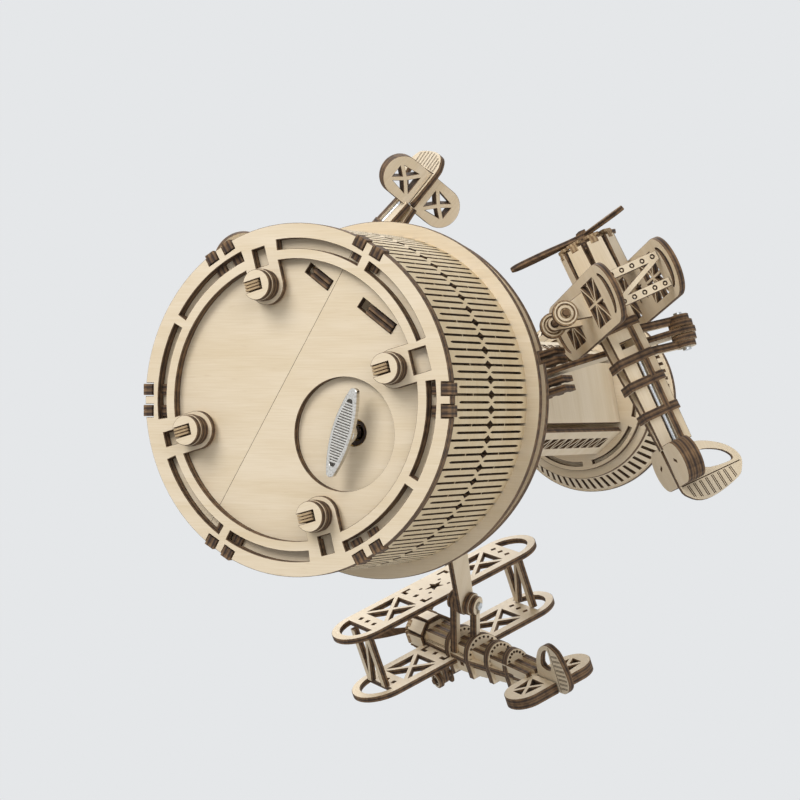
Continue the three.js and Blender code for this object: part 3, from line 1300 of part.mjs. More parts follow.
PLANES.forEach((plane, index) => {
  const number = index + 1;
  const { model } = plane;
  const { wing, body, wheels, cowl } = model;
  const arm = new THREE.Group();
  arm.rotation.z = rad(ARM_ANGLES[index]);
  part.add(arm);

  // Arm: a board on edge from the hub to the eye at the plane's pin
  const eyeZ = plane.height;
  const rootZ = half(armBottom + armTop);
  const armSlope = Math.atan2(eyeZ - rootZ, plane.reach - CHEEK_OUTER_RADIUS);
  const endX = plane.reach;
  const kink = CHEEK_OUTER_RADIUS + half(ARM_HEIGHT);
  const outline = [
    new THREE.Vector2(ARM_ROOT_RADIUS, armBottom),
    new THREE.Vector2(kink, armBottom),
    ...arcPoints(
      ARM_EYE_RADIUS, THREE.MathUtils.radToDeg(armSlope) - 90,
      THREE.MathUtils.radToDeg(armSlope) + 90, 8, endX, eyeZ,
    ),
    new THREE.Vector2(kink - half(ARM_HEIGHT), armTop),
    new THREE.Vector2(ARM_ROOT_RADIUS, armTop),
  ];
  const eyeHole = circlePoints(PIVOT_PIN_RADIUS + SEAT_GAP, PIN_ROUND, endX, eyeZ);
  addNode(arm, `arm_${number}`, boardXZ(outline, [eyeHole], PLY, -half(PLY)), WOOD_SHADE);

  // The plane's own frame: X along the heading, Y to its left, Z up
  const heading = new THREE.Vector3(...plane.headingShares).normalize();
  const upRough = new THREE.Vector3(...plane.upShares);
  const left = new THREE.Vector3().crossVectors(upRough, heading).normalize();
  const upward = new THREE.Vector3().crossVectors(heading, left);
  const basis = new THREE.Matrix4().makeBasis(heading, left, upward);
  const pivotPoint = new THREE.Vector3(plane.reach, 0, plane.height);
  const offset = new THREE.Vector3(model.pivot.x, 0, model.pivot.z).applyMatrix4(basis);
  const craft = new THREE.Group();
  craft.quaternion.setFromRotationMatrix(basis);
  craft.position.copy(pivotPoint).sub(offset);
  arm.add(craft);

  // Turn from the plane's frame to the pin's axis, which lies along the arm's sideways direction
  const sideways = Math.sign(heading.y);
  const pinX = new THREE.Vector3(0, sideways, 0);
  const pinZ = new THREE.Vector3(0, 0, 1);
  const pinY = new THREE.Vector3().crossVectors(pinZ, pinX);
  const pinBasis = new THREE.Matrix4().makeBasis(pinX, pinY, pinZ);
  const pivotTurn = basis.clone().invert().multiply(pinBasis);

  // Room for the arm in the body, level with the arm's own slope
  const armRoom = block(
    -plane.reach, 0, -half(PLY) - RUN_GAP, half(PLY) + RUN_GAP,
    -ARM_EYE_RADIUS - RUN_GAP, ARM_EYE_RADIUS + RUN_GAP,
  );
  armRoom.rotateY(-armSlope);
  armRoom.translate(plane.reach, 0, plane.height);
  craft.updateMatrix();
  armRoom.applyMatrix4(craft.matrix.clone().invert());

  const wingSlot = block(
    -half(wing.chord) - SEAT_GAP, half(wing.chord) + SEAT_GAP,
    -body.halfWidth - PLY, body.halfWidth + PLY, -half(PLY) - SEAT_GAP, half(PLY) + SEAT_GAP,
  );
  const finSolid = finGeometry(model.fin);
  const finSlot = block(
    model.fin.x - model.fin.length - OVERRUN, model.fin.x + OVERRUN,
    -half(PLY) - SEAT_GAP, half(PLY) + SEAT_GAP, -model.fin.height, model.fin.height * 2,
  );
  const tailSpace = block(
    model.tail.x - model.tail.chord, model.tail.x + half(model.tail.chord) + SEAT_GAP,
    -model.tail.halfSpan, model.tail.halfSpan,
    model.tail.z - half(PLY * model.tail.plies) - SEAT_GAP,
    model.tail.z + half(PLY * model.tail.plies) + SEAT_GAP,
  );
  const cutters = [wingSlot, tailSpace, finSlot, ...gearSpaces(wheels)];
  const hull = fused(bodySolids(model), [...cutters, armRoom]);
  const bodySolid = fused([hull, ...jointSolids(model, pivotTurn)], cutters);
  addNode(craft, `plane_${number}_body`, bodySolid, WOOD);
  const lowerBoard = board(wingPoints(wing), wingOpenings(wing, false), PLY, -half(PLY));
  addNode(craft, `plane_${number}_lower_wing`, fused([lowerBoard, ...gearLegs(wheels)]), WOOD);
  const upper = addNode(
    craft, `plane_${number}_upper_wing`,
    board(wingPoints(wing), wingOpenings(wing, true), PLY, -half(PLY)), WOOD,
  );
  upper.position.z = wing.gap;
  for (const [side, label] of [[1, 'left'], [-1, 'right']]) {
    const height = wing.gap - PLY - SEAT_GAP - SEAT_GAP;
    const strut = addNode(
      craft, `plane_${number}_${label}_strut`,
      boardXZ(strutPoints(height, model.strut), [], PLY, -half(PLY)), WOOD,
    );
    strut.position.set(0, side * (wing.halfSpan - model.strut.inset), half(PLY) + SEAT_GAP);
  }
  addNode(craft, `plane_${number}_tailplane`, tailGeometry(model.tail, model.fin), WOOD);
  addNode(craft, `plane_${number}_fin`, finSolid, WOOD);
  const propeller = addNode(craft, `plane_${number}_propeller`, propellerGeometry(), WOOD_BURNT);
  propeller.position.set(
    body.noseX + cowl.length + SEAT_GAP + PROPELLER.shaftLength, 0, cowl.axisZ,
  );
  const wheelset = addNode(craft, `plane_${number}_wheels`, wheelGeometry(wheels), WOOD);
  wheelset.position.set(wheels.x, 0, wheels.z);
});

// Stand the piece on its feet, with the origin under the middle of its outline
const bounds = new THREE.Box3().setFromObject(part, true);
const middle = bounds.getCenter(new THREE.Vector3());
part.position.set(-middle.x, -middle.y, -bounds.min.z);

export default musicBox;
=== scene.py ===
"""Dresses a wind-up plywood music box: a slit-walled drum with a winding key, a tower with a
slatted head, and three biplanes that circle the tower on arms.

Shapes are drawn in millimetres, as a laser cutter would cut them, and scaled to metres.
"""

import json
import math

import bmesh
import bpy
from mathutils import Matrix, Vector
from mathutils.geometry import tessellate_polygon


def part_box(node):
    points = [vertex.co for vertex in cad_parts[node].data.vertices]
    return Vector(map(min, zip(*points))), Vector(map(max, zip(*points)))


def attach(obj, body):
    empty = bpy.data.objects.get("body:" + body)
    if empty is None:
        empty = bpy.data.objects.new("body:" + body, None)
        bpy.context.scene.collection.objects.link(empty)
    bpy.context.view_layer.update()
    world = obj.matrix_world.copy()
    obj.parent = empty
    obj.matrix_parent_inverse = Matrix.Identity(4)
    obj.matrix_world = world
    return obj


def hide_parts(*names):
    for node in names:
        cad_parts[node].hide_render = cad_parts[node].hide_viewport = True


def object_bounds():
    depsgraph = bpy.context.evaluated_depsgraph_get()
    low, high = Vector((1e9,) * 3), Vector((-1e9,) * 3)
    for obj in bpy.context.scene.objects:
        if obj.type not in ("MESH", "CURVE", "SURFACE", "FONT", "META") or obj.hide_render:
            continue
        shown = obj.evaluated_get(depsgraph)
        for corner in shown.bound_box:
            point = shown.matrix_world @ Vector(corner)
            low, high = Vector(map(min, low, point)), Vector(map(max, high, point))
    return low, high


bl_info = {
    "name": "Plywood Music Box",
    "version": (1, 0, 0),
    "blender": (4, 5, 0),
    "location": "3D View > Sidebar > Music Box",
    "description": "Builds the visible pieces of a wind-up plywood music box",
    "category": "Object",
}

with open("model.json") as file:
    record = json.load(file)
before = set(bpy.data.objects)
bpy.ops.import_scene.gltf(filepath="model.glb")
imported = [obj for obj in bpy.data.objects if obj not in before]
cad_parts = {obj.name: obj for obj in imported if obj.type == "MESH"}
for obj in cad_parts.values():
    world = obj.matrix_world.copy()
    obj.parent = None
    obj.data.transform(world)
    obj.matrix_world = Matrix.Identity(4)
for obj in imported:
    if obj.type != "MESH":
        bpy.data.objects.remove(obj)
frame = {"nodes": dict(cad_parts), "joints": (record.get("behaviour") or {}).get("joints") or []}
CAD_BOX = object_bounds()

MM = 0.001
PLY = 2.0
BEVEL = 0.14
SEAT_GAP = 0.3
RUN_GAP = 0.6
WELD = 0.0005

# Finishes
FACE = "Laser-cut birch plywood face"
EDGE = "Laser-scorched plywood edge"
END = "Lightly scorched plywood end"
# Painted shade: the drum wall's birch, darker than the face birch for the shade that falls on the
# wall
SHADED_SKIN = "Bent birch plywood skin"
# Painted shade: the birch of the parts inside the drum, darker than the face birch for the shade
# there
INNER = "Laser-cut birch plywood inner board"
NICKEL = "Nickel-plated steel key"
# Painted shade: the dark metal seen between the ribs of the key's bow
SHADED_GROOVES = "Tarnished grooves of the key"
STEEL = "Drawn steel rod"
BRASS = "Machined brass"
WOOD = (FACE, EDGE)

# Drum and base
BASE_RADIUS = 52.0
RING_INNER = 41.5
RING_SLOT_OUTER = 47.5
RING_SLOT_INNER = 44.5
RING_SLOTS = ((0.09, 0.49), (0.53, 0.92))
BRACKET_HALF = 5.75
BRACKET_WINDOW = (40.8, 46.5)
BRACKET_WINDOW_WIDTHS = (7.2, 4.4, 4.4, 4.4)
FOOT_CIRCLE = 35.0
FOOT_ANGLES = (-15, 75, 165, 255)
FOOT_RADIUS = 4.5
FOOT_SLOT = (-4.6, 1.8, 1.65)
FOOT_TURN = -15.0
PAD_RADIUS = 5.8
CLIP_ANGLES = (0, 60, 120, 180, 240, 300)
CLIP_SPACING = 6.4
CLIP_WIDTH = 3.4
CLIP_NOTCH = 2.9
SEAM_ANGLE = 121.4
SEAM_OFFSET = 6.9
KEY_WELL = (15.5, 10.0, 16.8)
TAB_SLOTS = ((7.1, -36.2, 9.6), (26.5, -24.4, 13.8))
TAB_SLOT_ANGLE = 36.0
TAB_SLOT_WIDTH = 3.5
TAB_PLY = 1.24
WALL_RADIUS = 51.4
WALL_TOP = 49.5
WALL_COLUMNS = 73
WALL_TURN = 3.2
SLIT_BRIDGE = 0.3
FLANGE_RADIUS = 55.7
DECK_RADIUS = 54.2
DECK_BOTTOM = 57.5
DECK_TOP = 59.5
DECK_NOTCH = (52.8, -14)

# Key and post
KEY_BOW_LENGTH = 27.0
KEY_BOW_THICKNESS = 6.4
KEY_BOW_END = 2.4
KEY_BOW_HEIGHT = 2.6
KEY_BOW_BOTTOM = -4.4
KEY_BOW_ANGLE = 108.0
KEY_RIM = 0.75
KEY_FIELD = 0.28
ARBOR_HOLE_RADIUS = 4.1
POST_RADIUS = 2.0
POST_BORE = POST_RADIUS + 0.15
POST_TOP = 203.0
SLEEVE_RADIUS = 4.1

# Tower
TOWER_TURN = -11.0
TOWER_SIDES = (0, 120, 240)
WIDE_APOTHEM = 15.6
NARROW_APOTHEM = 19.9
CORNER_SLOT = 3.0
TOWER_FOOT_RADIUS = 23.0
LOWER_TOWER_TOP = 104.0
UPPER_TOWER_BOTTOM = 122.0
HEAD_BOTTOM = 198.75
HEAD_DISC_RADIUS = 25.4
HEAD_RING_RADIUS = 28.4
BAND_LOW_RADIUS = 28.2
BAND_HIGH_RADIUS = 32.8
BAND_HEIGHT = 7.8
BAND_SLATS = 72
RIM_RADIUS = 33.4
ROOF_RADIUS = 22.2
ROOF_TOP = 224.0

# Carousel
HUB_BOTTOM = 108.0
HUB_RADIUS = 24.0
HUB_TOP_RADIUS = 20.0
HUB_CORE_PLY = 1.72
ARM_HEIGHT = 8.0
ARM_ANGLES = (-17, 103, 223)
ARM_ROOT = 8.5
ARM_KINK = 36.0
CHEEK_INNER = 14.0
CHEEK_PITCH = 3.2
CHEEK_TOOTH = 2.2
EYE_RADIUS = 4.4
PIN_RADIUS = 1.4

# Planes, each in its own frame: X ahead, Y to its left, Z up
TRAINER = {
    "wing": {"half_span": 39.0, "chord": 20.0, "gap": 20.8},
    "strut": {"half": 6.0, "inset": 9.5, "lean": -1},
    "riveted": True,
    "body": {"nose": 9.0, "tail": -50.0, "spine": 9.5, "bottom": 0.8, "top": 14.0,
             "half": 5.0, "top_half": 2.0, "tail_half": 2.4, "tail_bottom": 2.4},
    "ribs": (-9.0, -20.5, -28.5, -39.0), "rib_top": 14.6,
    "cowl": {"length": 11.0, "radius": 9.2, "axis": 10.2},
    "tail": {"x": -56.0, "z": 5.5, "half_span": 16.5, "chord": 14.0, "plies": 3,
             "windowed": False},
    "fin": {"x": -50.5, "z": 3.3, "length": 20.0, "height": 22.0},
    "pivot": (-18.0, 26.5),
    "wheels": {"x": 1.8, "z": -9.2, "track": 9.0, "radius": 4.2, "width": 2.0},
}
SCOUT = {
    **TRAINER,
    "tail": {**TRAINER["tail"], "plies": 2, "windowed": True},
    "pivot": (-23.5, 26.5),
}
RACER = {
    "wing": {"half_span": 42.0, "chord": 23.0, "gap": 23.0},
    "strut": {"half": 6.5, "inset": 10.0, "lean": 1},
    "riveted": False,
    "body": {"nose": 11.0, "tail": -58.0, "spine": 1.6, "bottom": -5.0, "top": 6.0,
             "half": 6.0, "top_half": 4.4, "tail_half": 2.6, "tail_bottom": -2.0},
    "ribs": (-8.0, -21.4, -33.4, -44.4), "rib_top": 9.4,
    "cowl": {"length": 9.0, "radius": 7.2, "axis": 2.0},
    "tail": {"x": -64.0, "z": 1.6, "half_span": 16.5, "chord": 14.5, "plies": 2,
             "windowed": True},
    "fin": {"x": -60.0, "z": 0.4, "length": 20.0, "height": 17.0},
    "pivot": (-20.0, 22.0),
    "wheels": {"x": 3.0, "z": -10.0, "track": 9.0, "radius": 3.0, "width": 2.0},
}
MODELS = (TRAINER, RACER, SCOUT)
LUG_RADIUS = 4.0
NECK_PLY = 1.3
FORMER_PLY = 1.5
COWL_STAVES = 8
STAVE_SHARE = 0.86
GROOVE_DEPTH = 0.2
GROOVE_PAIRS = 8
PROPELLER_BLADES = 3
PROPELLER_RADIUS = 25.5
PROPELLER_SHAFT = 2.2
PROPELLER_PLY = 1.6
PROPELLER_TWIST = 18


def joint(name):
    return next(j for j in frame["joints"] if j["name"] == name)


# Shapes are drawn round the drum's axis, with zero height in the base plate's underside
AXIS_FOOT = Vector(joint("carousel_turn")["pos_m"]) / MM - Vector((0, 0, HUB_BOTTOM + PLY))


def joint_place(name):
    return Vector(joint(name)["pos_m"]) / MM - AXIS_FOOT


# Outlines, in millimetres

def arc(radius, start, end, steps, cx=0.0, cy=0.0):
    angles = [math.radians(start + (end - start) * i / steps) for i in range(steps + 1)]
    return [(cx + radius * math.cos(a), cy + radius * math.sin(a)) for a in angles]


def circle(radius, count, cx=0.0, cy=0.0):
    return arc(radius, 0, 360, count, cx, cy)[:-1]


def rectangle(x0, x1, y0, y1):
    return [(x0, y0), (x1, y0), (x1, y1), (x0, y1)]


def turned(points, angle, dx=0.0, dy=0.0):
    c, s = math.cos(math.radians(angle)), math.sin(math.radians(angle))
    return [(x * c - y * s + dx, x * s + y * c + dy) for x, y in points]


def both_sides(loops):
    """Each loop, and its mirror image across the middle line."""
    return [side for loop in loops for side in (loop, [(x, -y) for x, y in loop])]


def lead(half_width, radius):
    """The angle at a circle's centre under half a width laid across the circle."""
    return math.degrees(math.asin(half_width / radius))


def braced(corners, brace, split):
    """The openings of a four-sided cell with braces from corner to corner, and where split is
    true also from each side's middle."""
    centre = sum((Vector(corner) for corner in corners), Vector((0, 0))) / len(corners)
    loops = []
    for start, end in zip(corners, corners[1:] + corners[:1]):
        a, b = Vector(start), Vector(end)
        stops = [a, (a + b) / 2, b] if split else [a, b]
        loops += [shrunk([p, q, centre], brace / 2) for p, q in zip(stops, stops[1:])]
    return loops


def shrunk(triangle, margin):
    """A triangle whose sides have all moved in by the margin."""
    a, b, c = triangle
    sides = [(b - c).length, (c - a).length, (a - b).length]
    middle = (sides[0] * a + sides[1] * b + sides[2] * c) / sum(sides)
    inner = abs((b - a).cross(c - a)) / sum(sides)
    return [tuple(middle + (p - middle) * (1 - margin / inner)) for p in triangle]


def smoothed(points, steps=4):
    """A closed Catmull-Rom curve through the points."""
    out = []
    n = len(points)
    for i in range(n):
        a, b, c, d = (Vector(points[(i + k - 1) % n]) for k in range(4))
        for t in (j / steps for j in range(steps)):
            out.append(tuple(0.5 * (2 * b + (c - a) * t + (2 * a - 5 * b + 4 * c - d) * t * t
                                    + (3 * b - a - 3 * c + d) * t ** 3)))
    return out


# Places: moved and turned, and a flat sheet lying, standing across Y or standing across X

UNMOVED = Matrix.Identity(4)


def moved(x=0.0, y=0.0, z=0.0):
    return Matrix.Translation((x, y, z))


def spun(angle, axis="Z"):
    return Matrix.Rotation(math.radians(angle), 4, axis)


def axes(x, y, z):
    """The turn that lays X, Y and Z along three directions."""
    return Matrix((x, y, z)).transposed().to_4x4()


def lying(z):
    return moved(z=z)


def across_y(y, thickness=PLY):
    return moved(y=y + thickness) @ spun(90, "X")


def across_x(x):
    return moved(x) @ axes((0, 1, 0), (0, 0, 1), (1, 0, 0))


# Meshes

def cut_sheet(loops, thickness=PLY, place=UNMOVED, bevel=BEVEL, face=0, edge=1):
    """A sheet cut to outlines and openings, with its rims slightly rounded by the beam."""
    curve = bpy.data.curves.new("cut", "CURVE")
    curve.dimensions = "2D"
    curve.fill_mode = "BOTH"
    curve.extrude = thickness / 2 - bevel
    curve.bevel_depth = bevel
    curve.bevel_resolution = 0
    curve.offset = -bevel
    for loop in loops:
        spline = curve.splines.new("POLY")
        spline.points.add(len(loop) - 1)
        for point, (x, y) in zip(spline.points, loop):
            point.co = (x, y, 0, 1)
        spline.use_cyclic_u = True
    holder = bpy.data.objects.new("cut", curve)
    mesh = bpy.data.meshes.new_from_object(holder)
    bpy.data.objects.remove(holder)
    bpy.data.curves.remove(curve)
    mesh.transform(lying(thickness / 2))
    for polygon in mesh.polygons:
        polygon.material_index = face if abs(polygon.normal.z) > 0.9 else edge
    return mesh, place


def stack(loops, *levels):
    """Like sheets of plywood, lying at several levels."""
    return [cut_sheet(loops, PLY, lying(z)) for z in levels]


def mesh_from(bm, name):
    mesh = bpy.data.meshes.new(name)
    bm.to_mesh(mesh)
    bm.free()
    return mesh


def lathe(profile, count, place=UNMOVED, face=0):
    """A turned solid from (radius, height) pairs, from axis to axis or round a closed ring."""
    bm = bmesh.new()
    rows = [[bm.verts.new((x, y, z)) for x, y in circle(radius, count)] for radius, z in profile]
    last = rows[:1] if profile[0][0] > 0 else []
    for low, high in zip(rows, rows[1:] + last):
        for i in range(count):
            bm.faces.new((low[i - 1], low[i], high[i], high[i - 1])).material_index = face
    bmesh.ops.remove_doubles(bm, verts=bm.verts, dist=WELD)
    bmesh.ops.recalc_face_normals(bm, faces=bm.faces)
    return mesh_from(bm, "turned"), place


def rod(radius, z0, z1, count=24, place=UNMOVED, face=0):
    return lathe([(0, z0), (radius, z0), (radius, z1), (0, z1)], count, place, face)


def slit_band(columns, radius, thickness, loops, open_sides, slope=0.0, level=0.0):
    """A band bent round the axis from like cells, each a flat outline (arc length, height) with
    openings. Its open sides meet the next cell. From the level up the radius grows by the slope."""
    bm = bmesh.new()
    flat = [point for loop in loops for point in loop]
    triangles = tessellate_polygon([[Vector((x, y, 0)) for x, y in loop] for loop in loops])

    def bent(column, depth):
        row = []
        for s, z in flat:
            angle = 2 * math.pi * column / columns + s / radius
            reach = radius + slope * (z - level) - depth
            row.append(bm.verts.new((reach * math.cos(angle), reach * math.sin(angle), z)))
        return row

    for column in range(columns):
        outer, inner = bent(column, 0), bent(column, thickness)
        for a, b, c in triangles:
            bm.faces.new((outer[a], outer[b], outer[c]))
            bm.faces.new((inner[a], inner[c], inner[b]))
        start = 0
        for loop in loops:
            n = len(loop)
            for p, q in ((start + i, start + (i + 1) % n) for i in range(n)):
                if p not in open_sides:
                    bm.faces.new((outer[p], inner[p], inner[q], outer[q])).material_index = 1
            start += n
    bmesh.ops.remove_doubles(bm, verts=bm.verts, dist=WELD)
    bmesh.ops.recalc_face_normals(bm, faces=bm.faces)
    return mesh_from(bm, "band"), UNMOVED


def lay_grain(face, grain, drift):
    """Grain runs along a flat face, round a bent one and along a cut edge."""
    bent = abs(face.normal.z) < 0.5
    middle = face.calc_center_median()
    facing = math.atan2(middle.y, middle.x)
    for loop in face.loops:
        x, y, z = loop.vert.co
        if face.material_index == 1:
            loop[grain].uv = (x + y, z)
        elif bent:
            turn = facing + math.remainder(math.atan2(y, x) - facing, 2 * math.pi)
            loop[grain].uv = (turn * math.hypot(x, y), z)
        else:
            loop[grain].uv = (x + drift, y + drift)


def piece(name, node, parts, body="stand", finishes=WOOD, place=UNMOVED):
    """Joins parts into one object, each with its own stretch of grain, in a node's stead."""
    bm = bmesh.new()
    grain = bm.loops.layers.uv.new("grain")
    for number, (mesh, where) in enumerate(parts):
        old_verts, old_faces = len(bm.verts), len(bm.faces)
        bm.from_mesh(mesh)
        bm.verts.ensure_lookup_table()
        bm.faces.ensure_lookup_table()
        for face in bm.faces[old_faces:]:
            lay_grain(face, grain, 37.0 * number)
        home = moved(*AXIS_FOOT) @ place @ where
        bmesh.ops.transform(bm, matrix=home, verts=bm.verts[old_verts:])
    bmesh.ops.remove_doubles(bm, verts=bm.verts, dist=WELD)
    bmesh.ops.transform(bm, matrix=Matrix.Diagonal((MM, MM, MM, 1)), verts=bm.verts)
    mesh = mesh_from(bm, name)
    mesh.polygons.foreach_set("use_smooth", [True] * len(mesh.polygons))
    mesh.set_sharp_from_angle(angle=math.radians(28))
    for finish in finishes:
        mesh.materials.append(finish_named(finish))
    obj = bpy.data.objects.new(name, mesh)
    bpy.context.scene.collection.objects.link(obj)
    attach(obj, body)
    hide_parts(node)


# Materials

def linear(text):
    """An sRGB hex colour as linear red, green, blue and alpha."""
    values = [int(text[i:i + 2], 16) / 255 for i in (1, 3, 5)]
    return (*(v / 12.92 if v <= 0.04045 else ((v + 0.055) / 1.055) ** 2.4 for v in values), 1.0)


def add(tree, kind, inputs=None, **settings):
    """Adds one node; inputs are values or (node, output) pairs by socket name or number."""
    node = tree.nodes.new(kind)
    for key, value in settings.items():
        setattr(node, key, value)
    for key, value in (inputs or {}).items():
        socket = node.inputs[key]
        if isinstance(value, tuple) and isinstance(value[0], bpy.types.Node):
            tree.links.new(value[0].outputs[value[1]], socket)
        else:
            socket.default_value = value
    return node


def new_material(name):
    material = bpy.data.materials.new(name)
    material.use_nodes = True
    material.node_tree.nodes.clear()
    return material, material.node_tree


def set_stops(ramp, *stops):
    for element, (position, colour) in zip(ramp.color_ramp.elements, stops):
        element.position, element.color = position, linear(colour)


def finish_tree(tree, colour, height, distance, roughness, metallic=0.0):
    """The shader and the output: colour and height are (node, output) pairs."""
    bump = add(tree, "ShaderNodeBump", {"Strength": 0.6, "Distance": distance, "Height": height})
    shader = add(tree, "ShaderNodeBsdfPrincipled", {
        "Base Color": colour, "Normal": (bump, 0), "Metallic": metallic, "Roughness": roughness})
    add(tree, "ShaderNodeOutputMaterial", {"Surface": (shader, 0)})


def birch_plywood(name, pale, deep, laid=True):
    """Rotary-cut birch veneer, laser cut and left bare. The eye sees a pale, nearly even wood with
    soft bands a few millimetres wide, hair-fine grain along the sheet and short dark flecks."""
    material, tree = new_material(name)
    if laid:
        source, unit = (add(tree, "ShaderNodeUVMap", uv_map="grain"), 0), 1.0
    else:
        source, unit = (add(tree, "ShaderNodeTexCoord"), 3), 1 / MM
    band_mm, fibre_mm, fleck_mm = 7.0, 0.45, 1.1
    patterns = []
    for size, along, detail, warp in ((band_mm, 0.12, 2.0, 0.6), (fibre_mm, 0.04, 3.0, 0.0),
                                      (fleck_mm, 0.16, 1.0, 0.0)):
        scale = unit / size
        spread = add(tree, "ShaderNodeMapping", {
            "Vector": source, "Scale": (along * scale, scale, scale)})
        patterns.append(add(tree, "ShaderNodeTexNoise", {
            "Vector": (spread, 0), "Scale": 1.0, "Detail": detail, "Distortion": warp}))
    band, fibre, fleck = patterns
    tone = add(tree, "ShaderNodeMix", {0: 0.45, 2: (band, 0), 3: (fibre, 0)}, data_type="FLOAT")
    ramp = add(tree, "ShaderNodeValToRGB", {0: (tone, 0)})
    set_stops(ramp, (0.36, deep), (0.62, pale))
    spots = add(tree, "ShaderNodeMapRange", {"Value": (fleck, 0), 1: 0.68, 2: 0.78, 3: 0.0, 4: 0.2})
    colour = add(tree, "ShaderNodeMix", {0: (spots, 0), 6: (ramp, 0), 7: linear("#B79B72")},
                 data_type="RGBA")
    rough = add(tree, "ShaderNodeMapRange", {"Value": (fibre, 0), 1: 0.3, 2: 0.7, 3: 0.52, 4: 0.68})
    finish_tree(tree, (colour, 2), (fibre, 0), 0.00003, (rough, 0))
    return material


def burnt_edge(name, dark, light):
    """The laser-cut edge of birch plywood. The eye sees scorched brown, with the three plies as
    thin lighter and darker lines and uneven patches where the beam lingered."""
    material, tree = new_material(name)
    source = add(tree, "ShaderNodeUVMap", uv_map="grain")
    parts = add(tree, "ShaderNodeSeparateXYZ", {0: (source, 0)})
    plies = add(tree, "ShaderNodeMath", {0: (parts, 1), 1: 3 * math.pi / PLY}, operation="MULTIPLY")
    wave = add(tree, "ShaderNodeMath", {0: (plies, 0)}, operation="SINE")
    line = add(tree, "ShaderNodeMapRange", {"Value": (wave, 0), 1: -1.0, 2: 1.0, 3: 0.3, 4: 0.75})
    patch_mm = 2.2
    patches = add(tree, "ShaderNodeMapping", {
        "Vector": (source, 0), "Scale": (1 / patch_mm, 0.5 / patch_mm, 1 / patch_mm)})
    noise = add(tree, "ShaderNodeTexNoise", {"Vector": (patches, 0), "Scale": 1.0, "Detail": 3.0})
    blend = add(tree, "ShaderNodeMath", {0: (line, 0), 1: (noise, 0)}, operation="MULTIPLY")
    ramp = add(tree, "ShaderNodeValToRGB", {0: (blend, 0)})
    set_stops(ramp, (0.14, dark), (0.44, light))
    finish_tree(tree, (ramp, 0), (noise, 0), 0.00001, 0.8)
    return material


def plated_metal(name, colour, wear_and_shade, roughness, brush_mm):
    """Plated or drawn metal. The eye sees a grey mirror, slightly clouded, with fine draw lines. In
    the dark tones of the key's grooves it is painted shade between the ribs.
    """
    material, tree = new_material(name)
    source = add(tree, "ShaderNodeTexCoord")
    scale = 1 / MM / brush_mm
    lines = add(tree, "ShaderNodeMapping", {
        "Vector": (source, 3), "Scale": (scale, scale, 0.1 * scale)})
    noise = add(tree, "ShaderNodeTexNoise", {"Vector": (lines, 0), "Scale": 1.0, "Detail": 2.0})
    ramp = add(tree, "ShaderNodeValToRGB", {0: (noise, 0)})
    set_stops(ramp, (0.3, wear_and_shade), (0.6, colour))
    finish_tree(tree, (ramp, 0), (noise, 0), 0.000002, roughness, 1.0)
    return material


def stage_paint(name, pale, far):
    """Matt white studio board. From above the eye sees a plain pale floor with the part's shadow,
    which runs out into the backdrop without an edge. From below it sees through to the backdrop,
    and no light bounces off the board."""
    material, tree = new_material(name)
    geometry = add(tree, "ShaderNodeNewGeometry")
    path = add(tree, "ShaderNodeLightPath")
    clear = add(tree, "ShaderNodeMath", {0: (geometry, 6), 1: (path, 0)}, operation="MULTIPLY")
    for ray in (1, 2, 3):
        clear = add(tree, "ShaderNodeMath", {0: (clear, 0), 1: (path, ray)}, operation="MAXIMUM")
    shader = add(tree, "ShaderNodeBsdfDiffuse", {"Color": linear(pale)})
    glass = add(tree, "ShaderNodeBsdfTransparent")
    away = add(tree, "ShaderNodeVectorMath", {0: (geometry, 0)}, operation="LENGTH")
    fade = add(tree, "ShaderNodeMapRange", {"Value": (away, 1), 1: 0.25, 2: 1.3},
               interpolation_type="SMOOTHSTEP")
    horizon = add(tree, "ShaderNodeEmission", {"Color": linear(far)})
    board = add(tree, "ShaderNodeMixShader", {0: (fade, 0), 1: (shader, 0), 2: (horizon, 0)})
    mix = add(tree, "ShaderNodeMixShader", {0: (clear, 0), 1: (board, 0), 2: (glass, 0)})
    add(tree, "ShaderNodeOutputMaterial", {"Surface": (mix, 0)})
    return material


def finish_named(name):
    """A finish of the box by its name, made once from the panel's colours."""
    c = bpy.context.scene.music_box_colours
    recipes = {
        FACE: (birch_plywood, c.birch_pale, c.birch_deep),
        # The drum wall's birch is the face birch in darker tones: painted shade
        SHADED_SKIN: (birch_plywood, c.shaded_skin_pale, c.shaded_skin_deep),
        # Painted shade: the inner board's birch is darkened for the shade inside the drum
        INNER: (birch_plywood, c.birch_deep, c.birch_shade, False),
        EDGE: (burnt_edge, c.scorch_dark, c.scorch_light),
        END: (burnt_edge, c.scorch_light, c.birch_shade),
        NICKEL: (plated_metal, "#E2DFD9", "#C9C5BE", 0.2, 0.5),
        # Painted shade: dark metal between the key's ribs
        SHADED_GROOVES: (plated_metal, "#5E5A54", "#3D3A35", 0.4, 0.5),
        STEEL: (plated_metal, "#CDD0D2", "#9EA1A4", 0.3, 0.35),
        BRASS: (plated_metal, "#C8A25A", "#9C7A3D", 0.32, 0.4),
    }
    maker, *values = recipes[name]
    return bpy.data.materials.get(name) or maker(name, *values)


def dressed(node, name):
    """Gives a CAD node another finish."""
    materials = frame["nodes"][node].data.materials
    materials.clear()
    materials.append(finish_named(name))


# Settings in the sidebar

